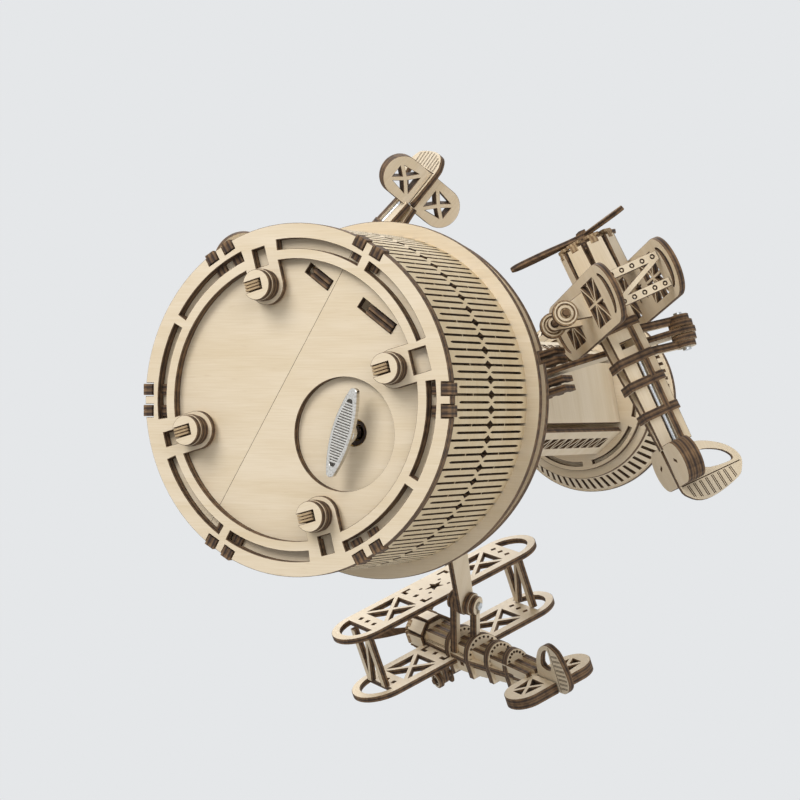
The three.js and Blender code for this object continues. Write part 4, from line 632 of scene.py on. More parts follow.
class MusicBoxColours(bpy.types.PropertyGroup):
    birch_pale: bpy.props.StringProperty(
        name="Pale birch", description="Lightest tone of the plywood's face", default="#E2D2B8")
    birch_deep: bpy.props.StringProperty(
        name="Deep birch", description="Darkest grain of the plywood's face", default="#D7C4A4")
    # Painted shade: the darker birch inside the drum; the lightly scorched ends also take it as
    # their paler brown
    birch_shade: bpy.props.StringProperty(
        name="Inner birch", description="Painted shade on the boards inside the drum, and the paler brown of scorched ends", default="#B9A17C")
    # Painted shade: these two tones darken the drum wall's birch for the shade on it
    shaded_skin_pale: bpy.props.StringProperty(
        name="Pale skin in painted shade", description="Lightest tone of the drum's bent skin", default="#DAC7A4")
    shaded_skin_deep: bpy.props.StringProperty(
        name="Deep skin in painted shade", description="Darkest grain of the drum's bent skin", default="#CDB68E")
    scorch_dark: bpy.props.StringProperty(
        name="Dark scorch", description="Darkest brown of a cut edge", default="#2B1C13")
    scorch_light: bpy.props.StringProperty(
        name="Light scorch", description="Lightest brown of a cut edge", default="#7E6245")
    floor: bpy.props.StringProperty(
        name="Floor", description="Colour of the studio floor", default="#E2E4E6")
    backdrop: bpy.props.StringProperty(
        name="Backdrop", description="Colour behind the object", default="#E5E7E9")


class MusicBoxSizes(bpy.types.PropertyGroup):
    plate_setback: bpy.props.FloatProperty(
        name="Plate setback", description="How far the base plate lies behind the ring's face",
        default=1.2 * MM, unit="LENGTH", precision=5)
    slit_width: bpy.props.FloatProperty(
        name="Slit width", description="Width of the slits in the drum's wall",
        default=0.75 * MM, unit="LENGTH", precision=5)
    diamond_width: bpy.props.FloatProperty(
        name="Diamond width", description="Width of the diamonds round the wall's middle",
        default=2.8 * MM, unit="LENGTH", precision=5)
    diamond_length: bpy.props.FloatProperty(
        name="Diamond length", description="Length of the diamonds, up the wall",
        default=3.8 * MM, unit="LENGTH", precision=5)
    key_rib_pitch: bpy.props.FloatProperty(
        name="Key rib pitch", description="Distance from rib to rib on the key's bow",
        default=0.8 * MM, unit="LENGTH", precision=5)
    propeller_turn: bpy.props.FloatProperty(
        name="Propeller turn", description="Where the first blade of each propeller stands",
        default=math.radians(168), subtype="ANGLE")


class MusicBoxStage(bpy.types.PropertyGroup):
    camera_place: bpy.props.FloatVectorProperty(
        name="Camera place", description="Where the camera stands, in metres", size=3,
        default=(0.37696, -0.00869, -0.6259), subtype="XYZ", unit="LENGTH")
    lens: bpy.props.FloatProperty(
        name="Lens", description="Focal length on a 36 mm frame, in millimetres", default=112.84)
    floor_size: bpy.props.FloatProperty(
        name="Floor size", description="Width of the floor", default=6.0, unit="LENGTH")
    ambient: bpy.props.FloatProperty(
        name="Ambient", description="Strength of the light from all round", default=0.46)


class MUSICBOX_OT_stage(bpy.types.Operator):
    """Adds the camera, the floor, the lamps and the pale surroundings"""
    bl_idname = "musicbox.stage"
    bl_label = "Stage"

    def execute(self, context):
        scene = context.scene
        scene.view_settings.view_transform = "Standard"
        self.camera(scene, scene.music_box_stage)
        self.floor(scene, scene.music_box_stage.floor_size / 2)
        self.surroundings(scene, scene.music_box_stage.ambient)
        lamps = (
            ("key lamp", (-0.55, -0.75, 0.75), 0.7, 8.0),
            ("side lamp", (0.9, 0.35, 0.45), 0.7, 2.4),
            ("low lamp", (-0.2, -0.6, -0.75), 0.5, 6.4),
            ("low fill lamp", (0.6, -0.4, -0.6), 0.6, 2.0),
        )
        for name, place, size, power in lamps:
            lamp = bpy.data.lights.new(name, "AREA")
            lamp.size = size
            lamp.energy = power
            obj = bpy.data.objects.new(name, lamp)
            obj.location = place
            aim = Vector((0, 0, 0.08)) - Vector(place)
            obj.rotation_euler = aim.to_track_quat("-Z", "Y").to_euler()
            obj.visible_camera = False
            scene.collection.objects.link(obj)
        return {"FINISHED"}

    def camera(self, scene, settings):
        camera = bpy.data.objects.new("camera", bpy.data.cameras.new("camera"))
        camera.data.sensor_width = 36.0
        camera.data.lens = settings.lens
        camera.data.clip_start = 0.01
        right = Vector((0.8791, -0.0008, 0.4766))
        ahead = Vector((-0.4766, -0.0015, 0.8791))
        turn = axes(right, right.cross(ahead).normalized(), -ahead)
        camera.matrix_world = moved(*settings.camera_place) @ turn
        scene.collection.objects.link(camera)
        scene.camera = camera

    def floor(self, scene, half):
        """A board just under the feet."""
        z = CAD_BOX[0][2] - 0.1 * PLY * MM
        mesh = bpy.data.meshes.new("floor")
        mesh.from_pydata([(x, y, z) for x, y in rectangle(-half, half, -half, half)], [],
                         [(0, 1, 2, 3)])
        colours = scene.music_box_colours
        mesh.materials.append(stage_paint("Matt white studio board", colours.floor,
                                          colours.backdrop))
        floor = bpy.data.objects.new("floor", mesh)
        scene.collection.objects.link(floor)

    def surroundings(self, scene, ambient):
        """The camera and shiny things see the backdrop, and all else gets the ambient light."""
        world = bpy.data.worlds.new("surroundings")
        world.use_nodes = True
        tree = world.node_tree
        tree.nodes.clear()
        path = add(tree, "ShaderNodeLightPath")
        seen = add(tree, "ShaderNodeMath", {0: (path, 0), 1: (path, 3)}, operation="MAXIMUM")
        seen = add(tree, "ShaderNodeMath", {0: (seen, 0), 1: (path, 6)}, operation="MAXIMUM")
        light = add(tree, "ShaderNodeBackground", {
            "Color": linear("#FFFFFF"), "Strength": ambient})
        backdrop = add(tree, "ShaderNodeBackground", {
            "Color": linear(scene.music_box_colours.backdrop), "Strength": 1.0})
        mix = add(tree, "ShaderNodeMixShader", {0: (seen, 0), 1: (light, 0), 2: (backdrop, 0)})
        add(tree, "ShaderNodeOutputWorld", {"Surface": (mix, 0)})
        scene.world = world


class MUSICBOX_OT_base(bpy.types.Operator):
    """Cuts the base ring, the base plate, the feet and the inner frame with its clips"""
    bl_idname = "musicbox.base"
    bl_label = "Base"

    def execute(self, context):
        setback = context.scene.music_box_sizes.plate_setback / MM
        piece("cut_base_ring", "base_ring", stack(self.ring_loops(), -PLY))
        for index, angle in enumerate(FOOT_ANGLES):
            piece(f"stacked_foot_{index + 1}", f"foot_{index + 1}", self.foot_parts(),
                  finishes=(*WOOD, END),
                  place=spun(angle) @ moved(FOOT_CIRCLE) @ spun(FOOT_TURN - angle))
        near, far = self.plate_loops()
        board = 2 * PLY - SEAT_GAP - setback
        backing = cut_sheet(self.ring_loops(False), setback)
        piece("cut_base_plate", "base_plate",
              [backing, cut_sheet(near, board, lying(setback), 0.06)])
        piece("cut_side_board", "base_plate_side_board",
              [cut_sheet(far, board, lying(setback), 0.06)])
        piece("clipped_inner_frame", "inner_frame", self.inner_frame_parts())
        return {"FINISHED"}

    def notched_rim(self):
        """The ring's rim, with a notch round each clip hook."""
        reach, bottom = CLIP_WIDTH / 2 + SEAT_GAP, BASE_RADIUS - CLIP_NOTCH
        points, at = [], -20
        for base in CLIP_ANGLES:
            for middle in (-CLIP_SPACING / 2, CLIP_SPACING / 2):
                low, high = middle - reach, middle + reach
                start, end = base + lead(low, BASE_RADIUS), base + lead(high, BASE_RADIUS)
                points += arc(BASE_RADIUS, at, start, max(1, round((start - at) / 3)))
                points += turned([(bottom, low), (bottom, high)], base)
                at = end
        return points + arc(BASE_RADIUS, at, 340, round((340 - at) / 3))[:-1]

    def ring_loops(self, pads=True):
        """The ring with its slots, and its windows and the feet's round pads or a plain rim."""
        loops = [self.notched_rim()]
        for foot in FOOT_ANGLES:
            for start_share, end_share in RING_SLOTS:
                start, end = foot + 90 * start_share, foot + 90 * end_share
                loops.append(arc(RING_SLOT_OUTER, start, end, 14)
                             + arc(RING_SLOT_INNER, end, start, 14))
        if not pads:
            return loops + [self.inner_rim()]
        for foot, width in zip(FOOT_ANGLES, BRACKET_WINDOW_WIDTHS):
            loops.append(turned(rectangle(*BRACKET_WINDOW, -width / 2, width / 2), foot))
        inner = []
        side, cheek = lead(BRACKET_HALF, RING_INNER), lead(BRACKET_HALF, PAD_RADIUS)
        for foot in FOOT_ANGLES:
            inner += arc(RING_INNER, foot - 90 + side, foot - side, 20)
            inner += turned(arc(PAD_RADIUS, -cheek, cheek - 360, 16, FOOT_CIRCLE), foot)
        return loops + [inner]

    def inner_rim(self):
        """The inner rim under the ring, open where the bracket windows are."""
        radius, deep, points = RING_INNER + 0.1, BRACKET_WINDOW[1], []
        for index, foot in enumerate(FOOT_ANGLES):
            before, half = (BRACKET_WINDOW_WIDTHS[i] / 2 for i in (index - 1, index))
            points += arc(radius, foot - 90 + lead(before, radius), foot - lead(half, radius), 20)
            points += turned([(deep, -half), (deep, half)], foot)
        return points

    def foot_parts(self):
        """Three discs with a slot from one side, and the three laminae of the tenon in it."""
        near, far, half = FOOT_SLOT
        mouth = lead(half, FOOT_RADIUS)
        outline = arc(FOOT_RADIUS, mouth - 180, 180 - mouth, 36) + [(far, half), (far, -half)]
        wider = [(x * 1.07, y * 1.07) for x, y in outline]
        parts = stack([outline], -8.0, -4.0) + stack([wider], -6.0)
        parts.append(cut_sheet([circle(3.4, 30)], 1.3))
        pitch = (2 * half - 0.5) / 3
        tenon = rectangle(near + 0.7, far - 0.8, -7.9, -2.2)
        for step in (-1, 0, 1):
            place = across_y(step * pitch - pitch / 2, pitch - 0.2)
            parts.append(cut_sheet([tenon], pitch - 0.2, place, bevel=0.1, face=2, edge=2))
        return parts

    def plate_loops(self):
        """The plate's two boards, which meet along the seam, with the well and the tab slots."""
        radius = WALL_RADIUS - PLY - SEAT_GAP
        middle = SEAM_ANGLE + 90
        chord = 90 - lead(SEAM_OFFSET, radius)
        gap = math.degrees(0.01 / radius)
        near = [arc(radius, middle + chord - 360 + gap, middle - chord - gap, 60),
                circle(KEY_WELL[2], 72, *KEY_WELL[:2])]
        far = [arc(radius, middle - chord + gap, middle + chord - gap, 60)]
        for x, y, length in TAB_SLOTS:
            slot = rectangle(-length / 2, length / 2, -TAB_SLOT_WIDTH / 2, TAB_SLOT_WIDTH / 2)
            beyond = turned([(x, y)], -middle)[0][0] > SEAM_OFFSET
            (far if beyond else near).append(turned(slot, TAB_SLOT_ANGLE, x, y))
        return near, far

    def inner_frame_parts(self):
        """The well's board with the shaft's bushing, the clips' hooks, and tabs in their slots."""
        key = joint_place("key_wind")
        well = circle(KEY_WELL[2] + 1.5, 72, *KEY_WELL[:2])
        bushing = [(2.5, 5.0), (4.6, 5.0), (4.6, 4.0), (4.8, 4.0), (4.8, 5.2), (2.5, 5.2)]
        parts = [cut_sheet([well, circle(ARBOR_HOLE_RADIUS, 40, key.x, key.y)], SEAT_GAP,
                           lying(2 * PLY - SEAT_GAP), 0.05),
                 lathe(bushing, 40, moved(key.x, key.y), face=1)]
        hook = [(45.0, 0.0), (49.4, 0.0), (49.4, -2.4), (52.4, -2.4), (52.4, 1.7), (48.8, 1.7),
                (48.8, 3.0), (45.0, 3.0)]
        width = CLIP_WIDTH / 2
        for angle in CLIP_ANGLES:
            for middle in (-CLIP_SPACING / 2, CLIP_SPACING / 2):
                for y in (middle - width, middle):
                    parts.append(cut_sheet([hook], width, spun(angle) @ across_y(y, width),
                                           bevel=0.1, face=1))
        for x, y, length in TAB_SLOTS:
            tab = rectangle(-0.23 * length, length / 2 - SEAT_GAP, 0.4, 3.0)
            for side in (-1, 1):
                place = across_y(side * 0.78 - TAB_PLY / 2, TAB_PLY)
                parts.append(cut_sheet([tab], TAB_PLY, moved(x, y) @ spun(TAB_SLOT_ANGLE) @ place,
                                       bevel=0.1, face=1))
        return parts


class MUSICBOX_OT_drum(bpy.types.Operator):
    """Bends the slit wall round the drum and lays the flange and the stepped deck on it"""
    bl_idname = "musicbox.drum"
    bl_label = "Drum"

    def execute(self, context):
        # The wall's finish paints shade: its birch is darker than the face birch
        piece("bent_wall", "drum_wall", [self.wall(context.scene.music_box_sizes)],
              finishes=(SHADED_SKIN, EDGE), place=spun(WALL_TURN))
        hole = circle(SLEEVE_RADIUS + RUN_GAP, 32)
        piece("cut_flange", "drum_flange", stack([circle(FLANGE_RADIUS, 180), hole], WALL_TOP))
        bottom, angle = DECK_NOTCH
        side = lead(2, DECK_RADIUS)
        deck = (arc(DECK_RADIUS, angle + side, angle + 360 - side, 170)
                + turned([(bottom, -2), (bottom, 2)], angle))
        spacer = [circle(49.6, 150), circle(44, 120)]
        piece("stepped_deck", "upper_deck",
              stack(spacer, WALL_TOP + PLY, WALL_TOP + 2 * PLY, WALL_TOP + 3 * PLY)
              + stack([deck, hole], DECK_BOTTOM))
        return {"FINISHED"}

    def wall(self, sizes):
        """Slits that are open at both rims with a diamond at mid-height, and between each two of
        them a plain slit in two halves."""
        low, high = PLY, WALL_TOP
        pitch = 2 * math.pi * WALL_RADIUS / WALL_COLUMNS
        left, right = -0.35 * pitch, 0.65 * pitch
        w, gap = sizes.slit_width / MM / 2, SLIT_BRIDGE / 2
        half_width, half_length = sizes.diamond_width / MM / 2, sizes.diamond_length / MM / 2
        tip, taper = 0.12, 1.2

        def level(share):
            return low + (high - low) * share

        q1, m, q3 = level(0.247), level(0.497), level(0.703)
        outline = [(left, low), (-w, low), (-w, q1 - gap), (w, q1 - gap), (w, low), (right, low),
                   (right, high), (w, high), (w, q3 + gap), (-w, q3 + gap), (-w, high),
                   (left, high)]
        diamond = [(-w, q1 + gap), (w, q1 + gap), (w, m - half_length), (half_width, m),
                   (w, m + half_length), (w, q3 - gap), (-w, q3 - gap), (-w, m + half_length),
                   (-half_width, m), (-w, m - half_length)]
        slits = []
        for start, end in ((level(0.06), level(0.473)), (level(0.52), level(0.95))):
            slit = [(-w, start + taper), (-tip, start), (tip, start), (w, start + taper),
                    (w, end - taper), (tip, end), (-tip, end), (-w, end - taper)]
            slits.append([(x + pitch / 2, z) for x, z in slit])
        return slit_band(WALL_COLUMNS, WALL_RADIUS, PLY, [outline, diamond, *slits], (5, 11))


class MUSICBOX_OT_movement(bpy.types.Operator):
    """Finishes the movement inside the drum, the post, and makes the ribbed winding key"""
    bl_idname = "musicbox.movement"
    bl_label = "Movement and key"

    def execute(self, context):
        for node in ("movement_bedplate", "spring_barrel", "tune_cylinder"):
            dressed(node, BRASS)
        for node in ("tune_comb", "governor_fan", "centre_post"):
            dressed(node, STEEL)
        # The drive sleeve's darker birch is painted shade inside the drum
        dressed("drive_sleeve", INNER)
        at = joint_place("key_wind")
        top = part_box("winding_key")[1].z / MM - AXIS_FOOT.z
        low = KEY_BOW_BOTTOM + KEY_BOW_HEIGHT - 1
        collar = [(0, low), (3.1, low), (3.4, low + 0.3), (3.4, low + 2.1), (3.1, low + 2.4),
                  (0, low + 2.4)]
        pitch = context.scene.music_box_sizes.key_rib_pitch / MM
        piece("ribbed_key", "winding_key",
              self.bow(pitch) + [lathe(collar, 32), rod(2.0, low, top)],
              "winding_key", (NICKEL, SHADED_GROOVES), moved(at.x, at.y))
        return {"FINISHED"}

    def lens(self, margin, shorter=0.0):
        """The bow's outline, moved in by the margin and made shorter at both ends, and its half
        width at a place along it."""
        end = KEY_BOW_END / 2 - margin / 3
        span, belly = KEY_BOW_LENGTH / 2 - margin - shorter - end, KEY_BOW_THICKNESS / 2 - margin
        rise = belly - end
        radius = (span * span / rise + rise) / 2
        sweep = lead(span, radius)
        side = arc(radius, 90 - sweep, 90 + sweep, 24, 0, belly - radius)

        def half_width(x):
            return math.sqrt(radius * radius - x * x) + belly - radius

        half = side + arc(end, 90, 270, 10, -span)[1:-1]
        return half + [(-x, -y) for x, y in half], half_width

    def bow(self, pitch):
        """A flat lens with a smooth rim round a field of fine ribs across it. The dark metal under
        the ribs is painted shade between them.
        """
        turn = spun(KEY_BOW_ANGLE)
        outline, _ = self.lens(0)
        opening, half_width = self.lens(KEY_RIM, 2.5)
        field = KEY_BOW_BOTTOM + KEY_FIELD
        parts = [cut_sheet([outline, opening], KEY_FIELD, turn @ lying(KEY_BOW_BOTTOM),
                           bevel=0.12, edge=0),
                 # The back board's faces take the dark metal: painted shade seen between the ribs
                 cut_sheet([outline], KEY_BOW_HEIGHT - KEY_FIELD, turn @ lying(field), bevel=0.3,
                           face=1, edge=0)]
        count = int((KEY_BOW_LENGTH / 2 - KEY_RIM - 3.4) / pitch)
        for x in (step * pitch for step in range(-count, count + 1)):
            reach = half_width(x) + 0.1
            parts.append(rod(0.29, -reach, reach, 10, turn @ moved(x, 0, field) @ spun(90, "X")))
        return parts


class MUSICBOX_OT_tower(bpy.types.Operator):
    """Stands up the lower and upper tower and builds the slatted head"""
    bl_idname = "musicbox.tower"
    bl_label = "Tower"

    wide_half = (NARROW_APOTHEM - WIDE_APOTHEM / 2) / (math.sqrt(3) / 2)
    narrow_half = (WIDE_APOTHEM - NARROW_APOTHEM / 2) / (math.sqrt(3) / 2)

    def execute(self, context):
        foot = circle(TOWER_FOOT_RADIUS, 90)
        low, high = DECK_TOP + PLY, LOWER_TOWER_TOP - PLY
        lower = stack([foot, circle(SLEEVE_RADIUS + RUN_GAP, 32)], DECK_TOP, high)
        for turn in TOWER_SIDES:
            lower += [self.wide(low, high, turn), self.lattice(low, high, turn + 60)]
        piece("lower_tower_boards", "lower_tower", lower)
        small, low = circle(POST_BORE, 24), UPPER_TOWER_BOTTOM + PLY
        strips = [self.lattice(low, HEAD_BOTTOM, turn + 60) for turn in TOWER_SIDES]
        piece("upper_tower_strips", "upper_tower_lattice",
              stack([foot, small], UPPER_TOWER_BOTTOM) + strips)
        for index, turn in enumerate(TOWER_SIDES):
            piece(f"tower_face_{index + 1}", f"tower_panel_{index + 1}",
                  [self.wide(low, HEAD_BOTTOM, turn)])
        self.head(small)
        return {"FINISHED"}

    def wide(self, z0, z1, turn):
        reach = self.wide_half - CORNER_SLOT
        return cut_sheet([rectangle(-reach, reach, z0, z1)], PLY,
                         spun(TOWER_TURN + turn) @ across_x(WIDE_APOTHEM - PLY))

    def lattice(self, z0, z1, turn):
        """A strip with a zigzag of webs between two rails."""
        reach = self.narrow_half - 0.15
        side, pitch, slant, rail = 2.5, 6.0, 1.426, 0.45
        cells = int((z1 - z0 - 7) / pitch)
        start = (z0 + z1 - cells * pitch) / 2
        loops = [rectangle(-reach, reach, z0, z1)]
        for a in (start + i * pitch for i in range(cells)):
            b = a + pitch
            loops.append([(-side, a + rail), (side, a + rail), (-side, b - slant)])
            loops.append([(side, a + slant), (side, b - rail), (-side + 0.3, b - rail)])
        return cut_sheet(loops, PLY, spun(TOWER_TURN + turn) @ across_x(NARROW_APOTHEM - PLY),
                         bevel=0.1)

    def head(self, small):
        """The slotted floor, the flared band of slats and the stepped roof."""
        arcs = []
        for turn in range(0, 360, 60):
            start = TOWER_TURN + turn - 25
            arcs.append(arc(23.8, start, start + 50, 16) + arc(22.4, start + 50, start, 16))
        piece("head_floor", "head_disc",
              stack([circle(HEAD_DISC_RADIUS, 120), small, *arcs], HEAD_BOTTOM)
              + stack([circle(HEAD_RING_RADIUS, 120), small], HEAD_BOTTOM + PLY))
        low = HEAD_BOTTOM + 2 * PLY
        high = low + BAND_HEIGHT
        middle = (BAND_LOW_RADIUS + BAND_HIGH_RADIUS) / 2
        half = math.pi * middle / BAND_SLATS
        slat = rectangle(-half, half, low, high)
        slot = rectangle(-half * 0.42, half * 0.42, low + 0.8, high - 0.8)
        slope = (BAND_HIGH_RADIUS - BAND_LOW_RADIUS) / BAND_HEIGHT
        piece("slatted_band", "head_band", [slit_band(
            BAND_SLATS, middle, 1.6, [slat, slot], (1, 3), slope, (low + high) / 2)])
        rim, eaves, lantern = (high + PLY * step for step in (1, 2, 3))
        cone = [(POST_BORE, rim), (HEAD_RING_RADIUS, rim), (ROOF_RADIUS, eaves),
                (POST_BORE, eaves)]
        piece("stepped_roof", "head_roof",
              stack([circle(RIM_RADIUS, 140), small], high) + [lathe(cone, 12)]
              + stack([circle(ROOF_RADIUS - 0.2, 90)], eaves) + stack([circle(9.0, 60)], lantern)
              + [rod(1.5, lantern + PLY, ROOF_TOP), rod(POST_BORE, POST_TOP + RUN_GAP, eaves)])


class MUSICBOX_OT_carousel(bpy.types.Operator):
    """Stacks the hub and its cheeks and cuts the three arms"""
    bl_idname = "musicbox.carousel"
    bl_label = "Carousel"

    def execute(self, context):
        low = HUB_BOTTOM + PLY
        high = low + ARM_HEIGHT
        bore = circle(POST_RADIUS + RUN_GAP, 24)
        parts = (stack([circle(HUB_RADIUS, 90), bore], HUB_BOTTOM)
                 + stack([circle(HUB_TOP_RADIUS, 80), bore], high + RUN_GAP))
        for level in range(5):
            parts.append(cut_sheet([circle(7.0, 40), bore], HUB_CORE_PLY,
                                   lying(low + level * HUB_CORE_PLY)))
        for angle in ARM_ANGLES:
            for step in (-2, -1, 1, 2):
                parts.append(cut_sheet([self.cheek(low, high)], PLY,
                                       spun(angle) @ across_y(step * CHEEK_PITCH - 1), face=1))
        piece("stacked_hub", "carousel_hub", parts, "carousel")
        for index, angle in enumerate(ARM_ANGLES):
            pin = joint_place(f"bank_{index + 1}")
            reach = math.hypot(pin.x, pin.y)
            loops = [self.arm(low, high, reach, pin.z),
                     circle(PIN_RADIUS + SEAT_GAP, 24, reach, pin.z)]
            piece(f"cut_arm_{index + 1}", f"arm_{index + 1}",
                  [cut_sheet(loops, PLY, spun(angle) @ across_y(-1))], "carousel")
        return {"FINISHED"}

    def cheek(self, low, high):
        """A cheek with a comb of notches along its top edge."""
        points = [(CHEEK_INNER, low - 1), (ARM_KINK, low), (ARM_KINK, high)]
        x, step, bottom = ARM_KINK, CHEEK_TOOTH, high - 2.4
        while x - 2 * step > CHEEK_INNER:
            points += [(x - step, high), (x - step, bottom), (x - 2 * step, bottom),
                       (x - 2 * step, high)]
            x -= 2 * step
        return points + [(CHEEK_INNER, high)]

    def arm(self, low, high, reach, height):
        """A level root that kinks towards the round end with the eye."""
        slope = math.degrees(math.atan2(height - (low + high) / 2, reach - ARM_KINK))
        return ([(ARM_ROOT, low), (ARM_KINK + ARM_HEIGHT / 2, low)]
                + arc(EYE_RADIUS, slope - 90, slope + 90, 20, reach, height)
                + [(ARM_KINK - ARM_HEIGHT / 2, high), (ARM_ROOT, high)])


class MUSICBOX_OT_planes(bpy.types.Operator):
    """Cuts and joins the boards of the three biplanes"""
    bl_idname = "musicbox.planes"
    bl_label = "Planes"

    def execute(self, context):
        for index, model in enumerate(MODELS):
            self.build(index + 1, model, context.scene.music_box_sizes.propeller_turn)
        return {"FINISHED"}

    def place_of(self, number, wheels):
        """The plane's own frame, from its joints."""
        heading = Vector(joint(f"propeller_{number}_spin")["axis"]).normalized()
        left = Vector(joint(f"wheels_{number}_roll")["axis"]).normalized()
        up = heading.cross(left).normalized()
        axle = joint_place(f"wheels_{number}_roll")
        return moved(*axle - wheels["x"] * heading - wheels["z"] * up) @ axes(heading, left, up)

    def build(self, number, model, propeller_turn):
        wing, strut, wheels = model["wing"], model["strut"], model["wheels"]
        place = self.place_of(number, wheels)
        name = f"plane_{number}"

        def put(label, parts, body=name, finishes=WOOD):
            piece(f"biplane_{number}_{label}", f"{name}_{label}", parts, body, finishes,
                  place)

        put("lower_wing", stack(self.wing_loops(model, False), -1) + self.gear_legs(wheels))
        put("upper_wing", stack(self.wing_loops(model, True), wing["gap"] - 1))
        for side, label in ((1, "left_strut"), (-1, "right_strut")):
            y = side * (wing["half_span"] - strut["inset"])
            put(label, self.strut_parts(wing["gap"], y, strut, model["riveted"]))
        put("body", self.body_parts(model) + self.joint_parts(number, model, place),
            finishes=(*WOOD, STEEL, END))
        put("tailplane", self.tail_parts(model["tail"], model["fin"]))
        put("fin", self.fin_parts(model["fin"]))
        put("propeller", self.propeller_parts(model, propeller_turn), f"{name}_propeller")
        put("wheels", self.wheel_parts(wheels), f"{name}_wheels", finishes=(*WOOD, END))

    def wing_loops(self, model, upper):
        """The outline with round tips, an opening along each tip, the braced cells, and on the
        upper wing a star with dots. A riveted plane's cells have twice the braces. The other's
        have three dots outside and two cuts and a dot inside."""
        wing = model["wing"]
        r = wing["chord"] / 2
        straight = wing["half_span"] - r
        reach, y1 = r - 3.0, straight - 4.4
        if model["riveted"]:
            hollow = [(x, straight + (y - straight) * 0.55)
                      for x, y in arc(reach - 0.4, 165, 15, 12, 0, straight)]
            tip = arc(reach, 12, 168, 12, 0, straight) + hollow
            reach += 0.6
            side = [tip, *braced(rectangle(-reach, reach, y1 - 16.5, y1 + 0.8), 1.0, True)]
        else:
            tip = arc(reach, 8, 172, 14, 0, straight)
            y0 = y1 - 15.0
            dot = rectangle(-0.75, 0.75, -0.75, 0.75)
            side = [tip, *braced(rectangle(-reach, reach, y0, y1), 1.7, False)]
            side += [turned(dot, 20, share * reach, straight - 1.9) for share in (-0.55, 0.0, 0.55)]
            side += self.corner_cuts(reach, y0 - 1.7)
        loops = [arc(r, 0, 180, 24, 0, straight) + arc(r, 180, 360, 24, 0, -straight)]
        loops += both_sides(side)
        if upper:
            loops.append([turned([(radius, 0)], 72 * point + start)[0]
                          for point in range(5) for radius, start in ((3.4, 0), (1.5, 36))])
            for angle in (50, 130, 230, 310):
                loops.append(circle(0.55, 10, *turned([(5.2, 0)], angle)[0]))
        return loops

    def corner_cuts(self, reach, y):
        """Two L-shaped cuts and a dot between the braced cell and the middle of the wing."""
        arm, width = 3.4, 1.1
        corner = [(0, 0), (arm, 0), (arm, -width), (width, -width), (width, -arm), (0, -arm)]
        return [[(x - reach, y + v) for x, v in corner],
                [(reach - x, y + v) for x, v in corner][::-1],
                turned(rectangle(-0.8, 0.8, -0.8, 0.8), 15, 0, y - 1.4)]

    def gear_legs(self, wheels):
        """Two boards that narrow from the wing down to the axle's eye."""
        x, z = wheels["x"], wheels["z"]
        outline = [(x + 4.5, 0), (x - 4.5, 0)] + arc(2.3, 180, 360, 12, x, z)
        y = wheels["track"] - wheels["width"] / 2 - SEAT_GAP - PLY
        return [cut_sheet([outline, circle(1.3, 20, x, z)], PLY, across_y(start))
                for start in (y, -y - PLY)]

    def strut_parts(self, gap, y, strut, riveted):
        """Two upright bars and a slanting one, and on a riveted plane a row of eyelets on each
        upright one.
        """
        w, bar, diagonal, lean = strut["half"], 2.8, 4.0, strut["lean"]
        z0, z1 = 1 + SEAT_GAP, gap - 1 - SEAT_GAP
        outline = [(x * lean, z) for x, z in (
            (-w, z0), (-w + bar, z0), (-w + bar, z1 - diagonal), (w - bar, z0), (w, z0),
            (w, z1), (w - bar, z1), (w - bar, z0 + diagonal), (-w + bar, z1), (-w, z1))]
        if not riveted:
            return [cut_sheet([outline], PLY, across_y(y - 1))]
        eyelets, collar = 5, PLY - 0.1
        middles = [(x, z0 + (z1 - z0) * (i + 0.5) / eyelets)
                   for x in (-w + bar / 2, w - bar / 2) for i in range(eyelets)]
        holes = [circle(0.78, 14, *middle) for middle in middles]
        return [cut_sheet([outline, *holes], PLY, across_y(y - 1), bevel=0.08)] + [
            cut_sheet([circle(0.42, 12, *middle)], collar, across_y(y - collar / 2, collar),
                      bevel=0.05) for middle in middles]

    def body_parts(self, model):
        """The spine, side boards that taper behind the second former, and what stands on them."""
        body, ribs, riveted = model["body"], model["ribs"], model["riveted"]
        w, t, proud = body["half"], body["tail_half"], 0.9
        nose, tail, spine, knee = body["nose"], body["tail"], body["spine"], ribs[1]

        def floor_at(x):
            share = (nose - x) / (nose - tail)
            return body["bottom"] + (body["tail_bottom"] - body["bottom"]) * share

        parts = stack([[(nose, -w), (nose, w), (knee, w + proud), (tail, t + proud),
                        (tail, -t - proud), (knee, -w - proud)]], spine - 1)
        turn = math.degrees(math.atan2(w - t, knee - tail))
        length = math.hypot(w - t, knee - tail)
        x, high = (ribs[0] + knee) / 2, spine - 1 - (2.1 if riveted else 0.9)
        opening = rectangle(x - 1.1, x + 1.1, floor_at(x) + 2.6, spine - 0.8)
        front = [(knee, floor_at(knee)), (nose, floor_at(nose)), (nose, spine + 1),
                 (knee, spine + 1)]
        rear = [(-length, floor_at(tail)), (0, floor_at(knee)), (0, high), (-length, high)]
        for side in (-1, 1):
            inset = -PLY if side > 0 else 0
            hinge = moved(knee, side * w) @ spun(side * turn)
            parts.append(cut_sheet([front, opening], PLY, across_y(side * w + inset)))
            parts.append(cut_sheet([rear], PLY, hinge @ across_y(inset)))
        parts += self.deck_parts(model) + self.former_parts(model, floor_at)
        parts += self.cowl_parts(model)
        for side in (-1, 1) if riveted else ():
            axis = moved(knee, side * (w - 0.5), spine - 2.0) @ spun(side * turn)
            parts.append(rod(0.75, 0.5, length - 1, 16, axis @ spun(-90, "Y"), face=2))
        return parts

    def deck_parts(self, model):
        """The narrow boards on edge along the top of the body."""
        body, knee = model["body"], model["ribs"][1]
        nose, tail, spine, top, half = (
            body[k] for k in ("nose", "tail", "spine", "top", "top_half"))
        outline = [(tail, spine), (nose, spine), (nose, top), (knee, top),
                   (tail, spine + (top - spine) * 0.8)]
        rows = (-half, half - PLY) if half < 3 else (-half, -1, half - PLY)
        return [cut_sheet([outline], PLY, across_y(y)) for y in rows]

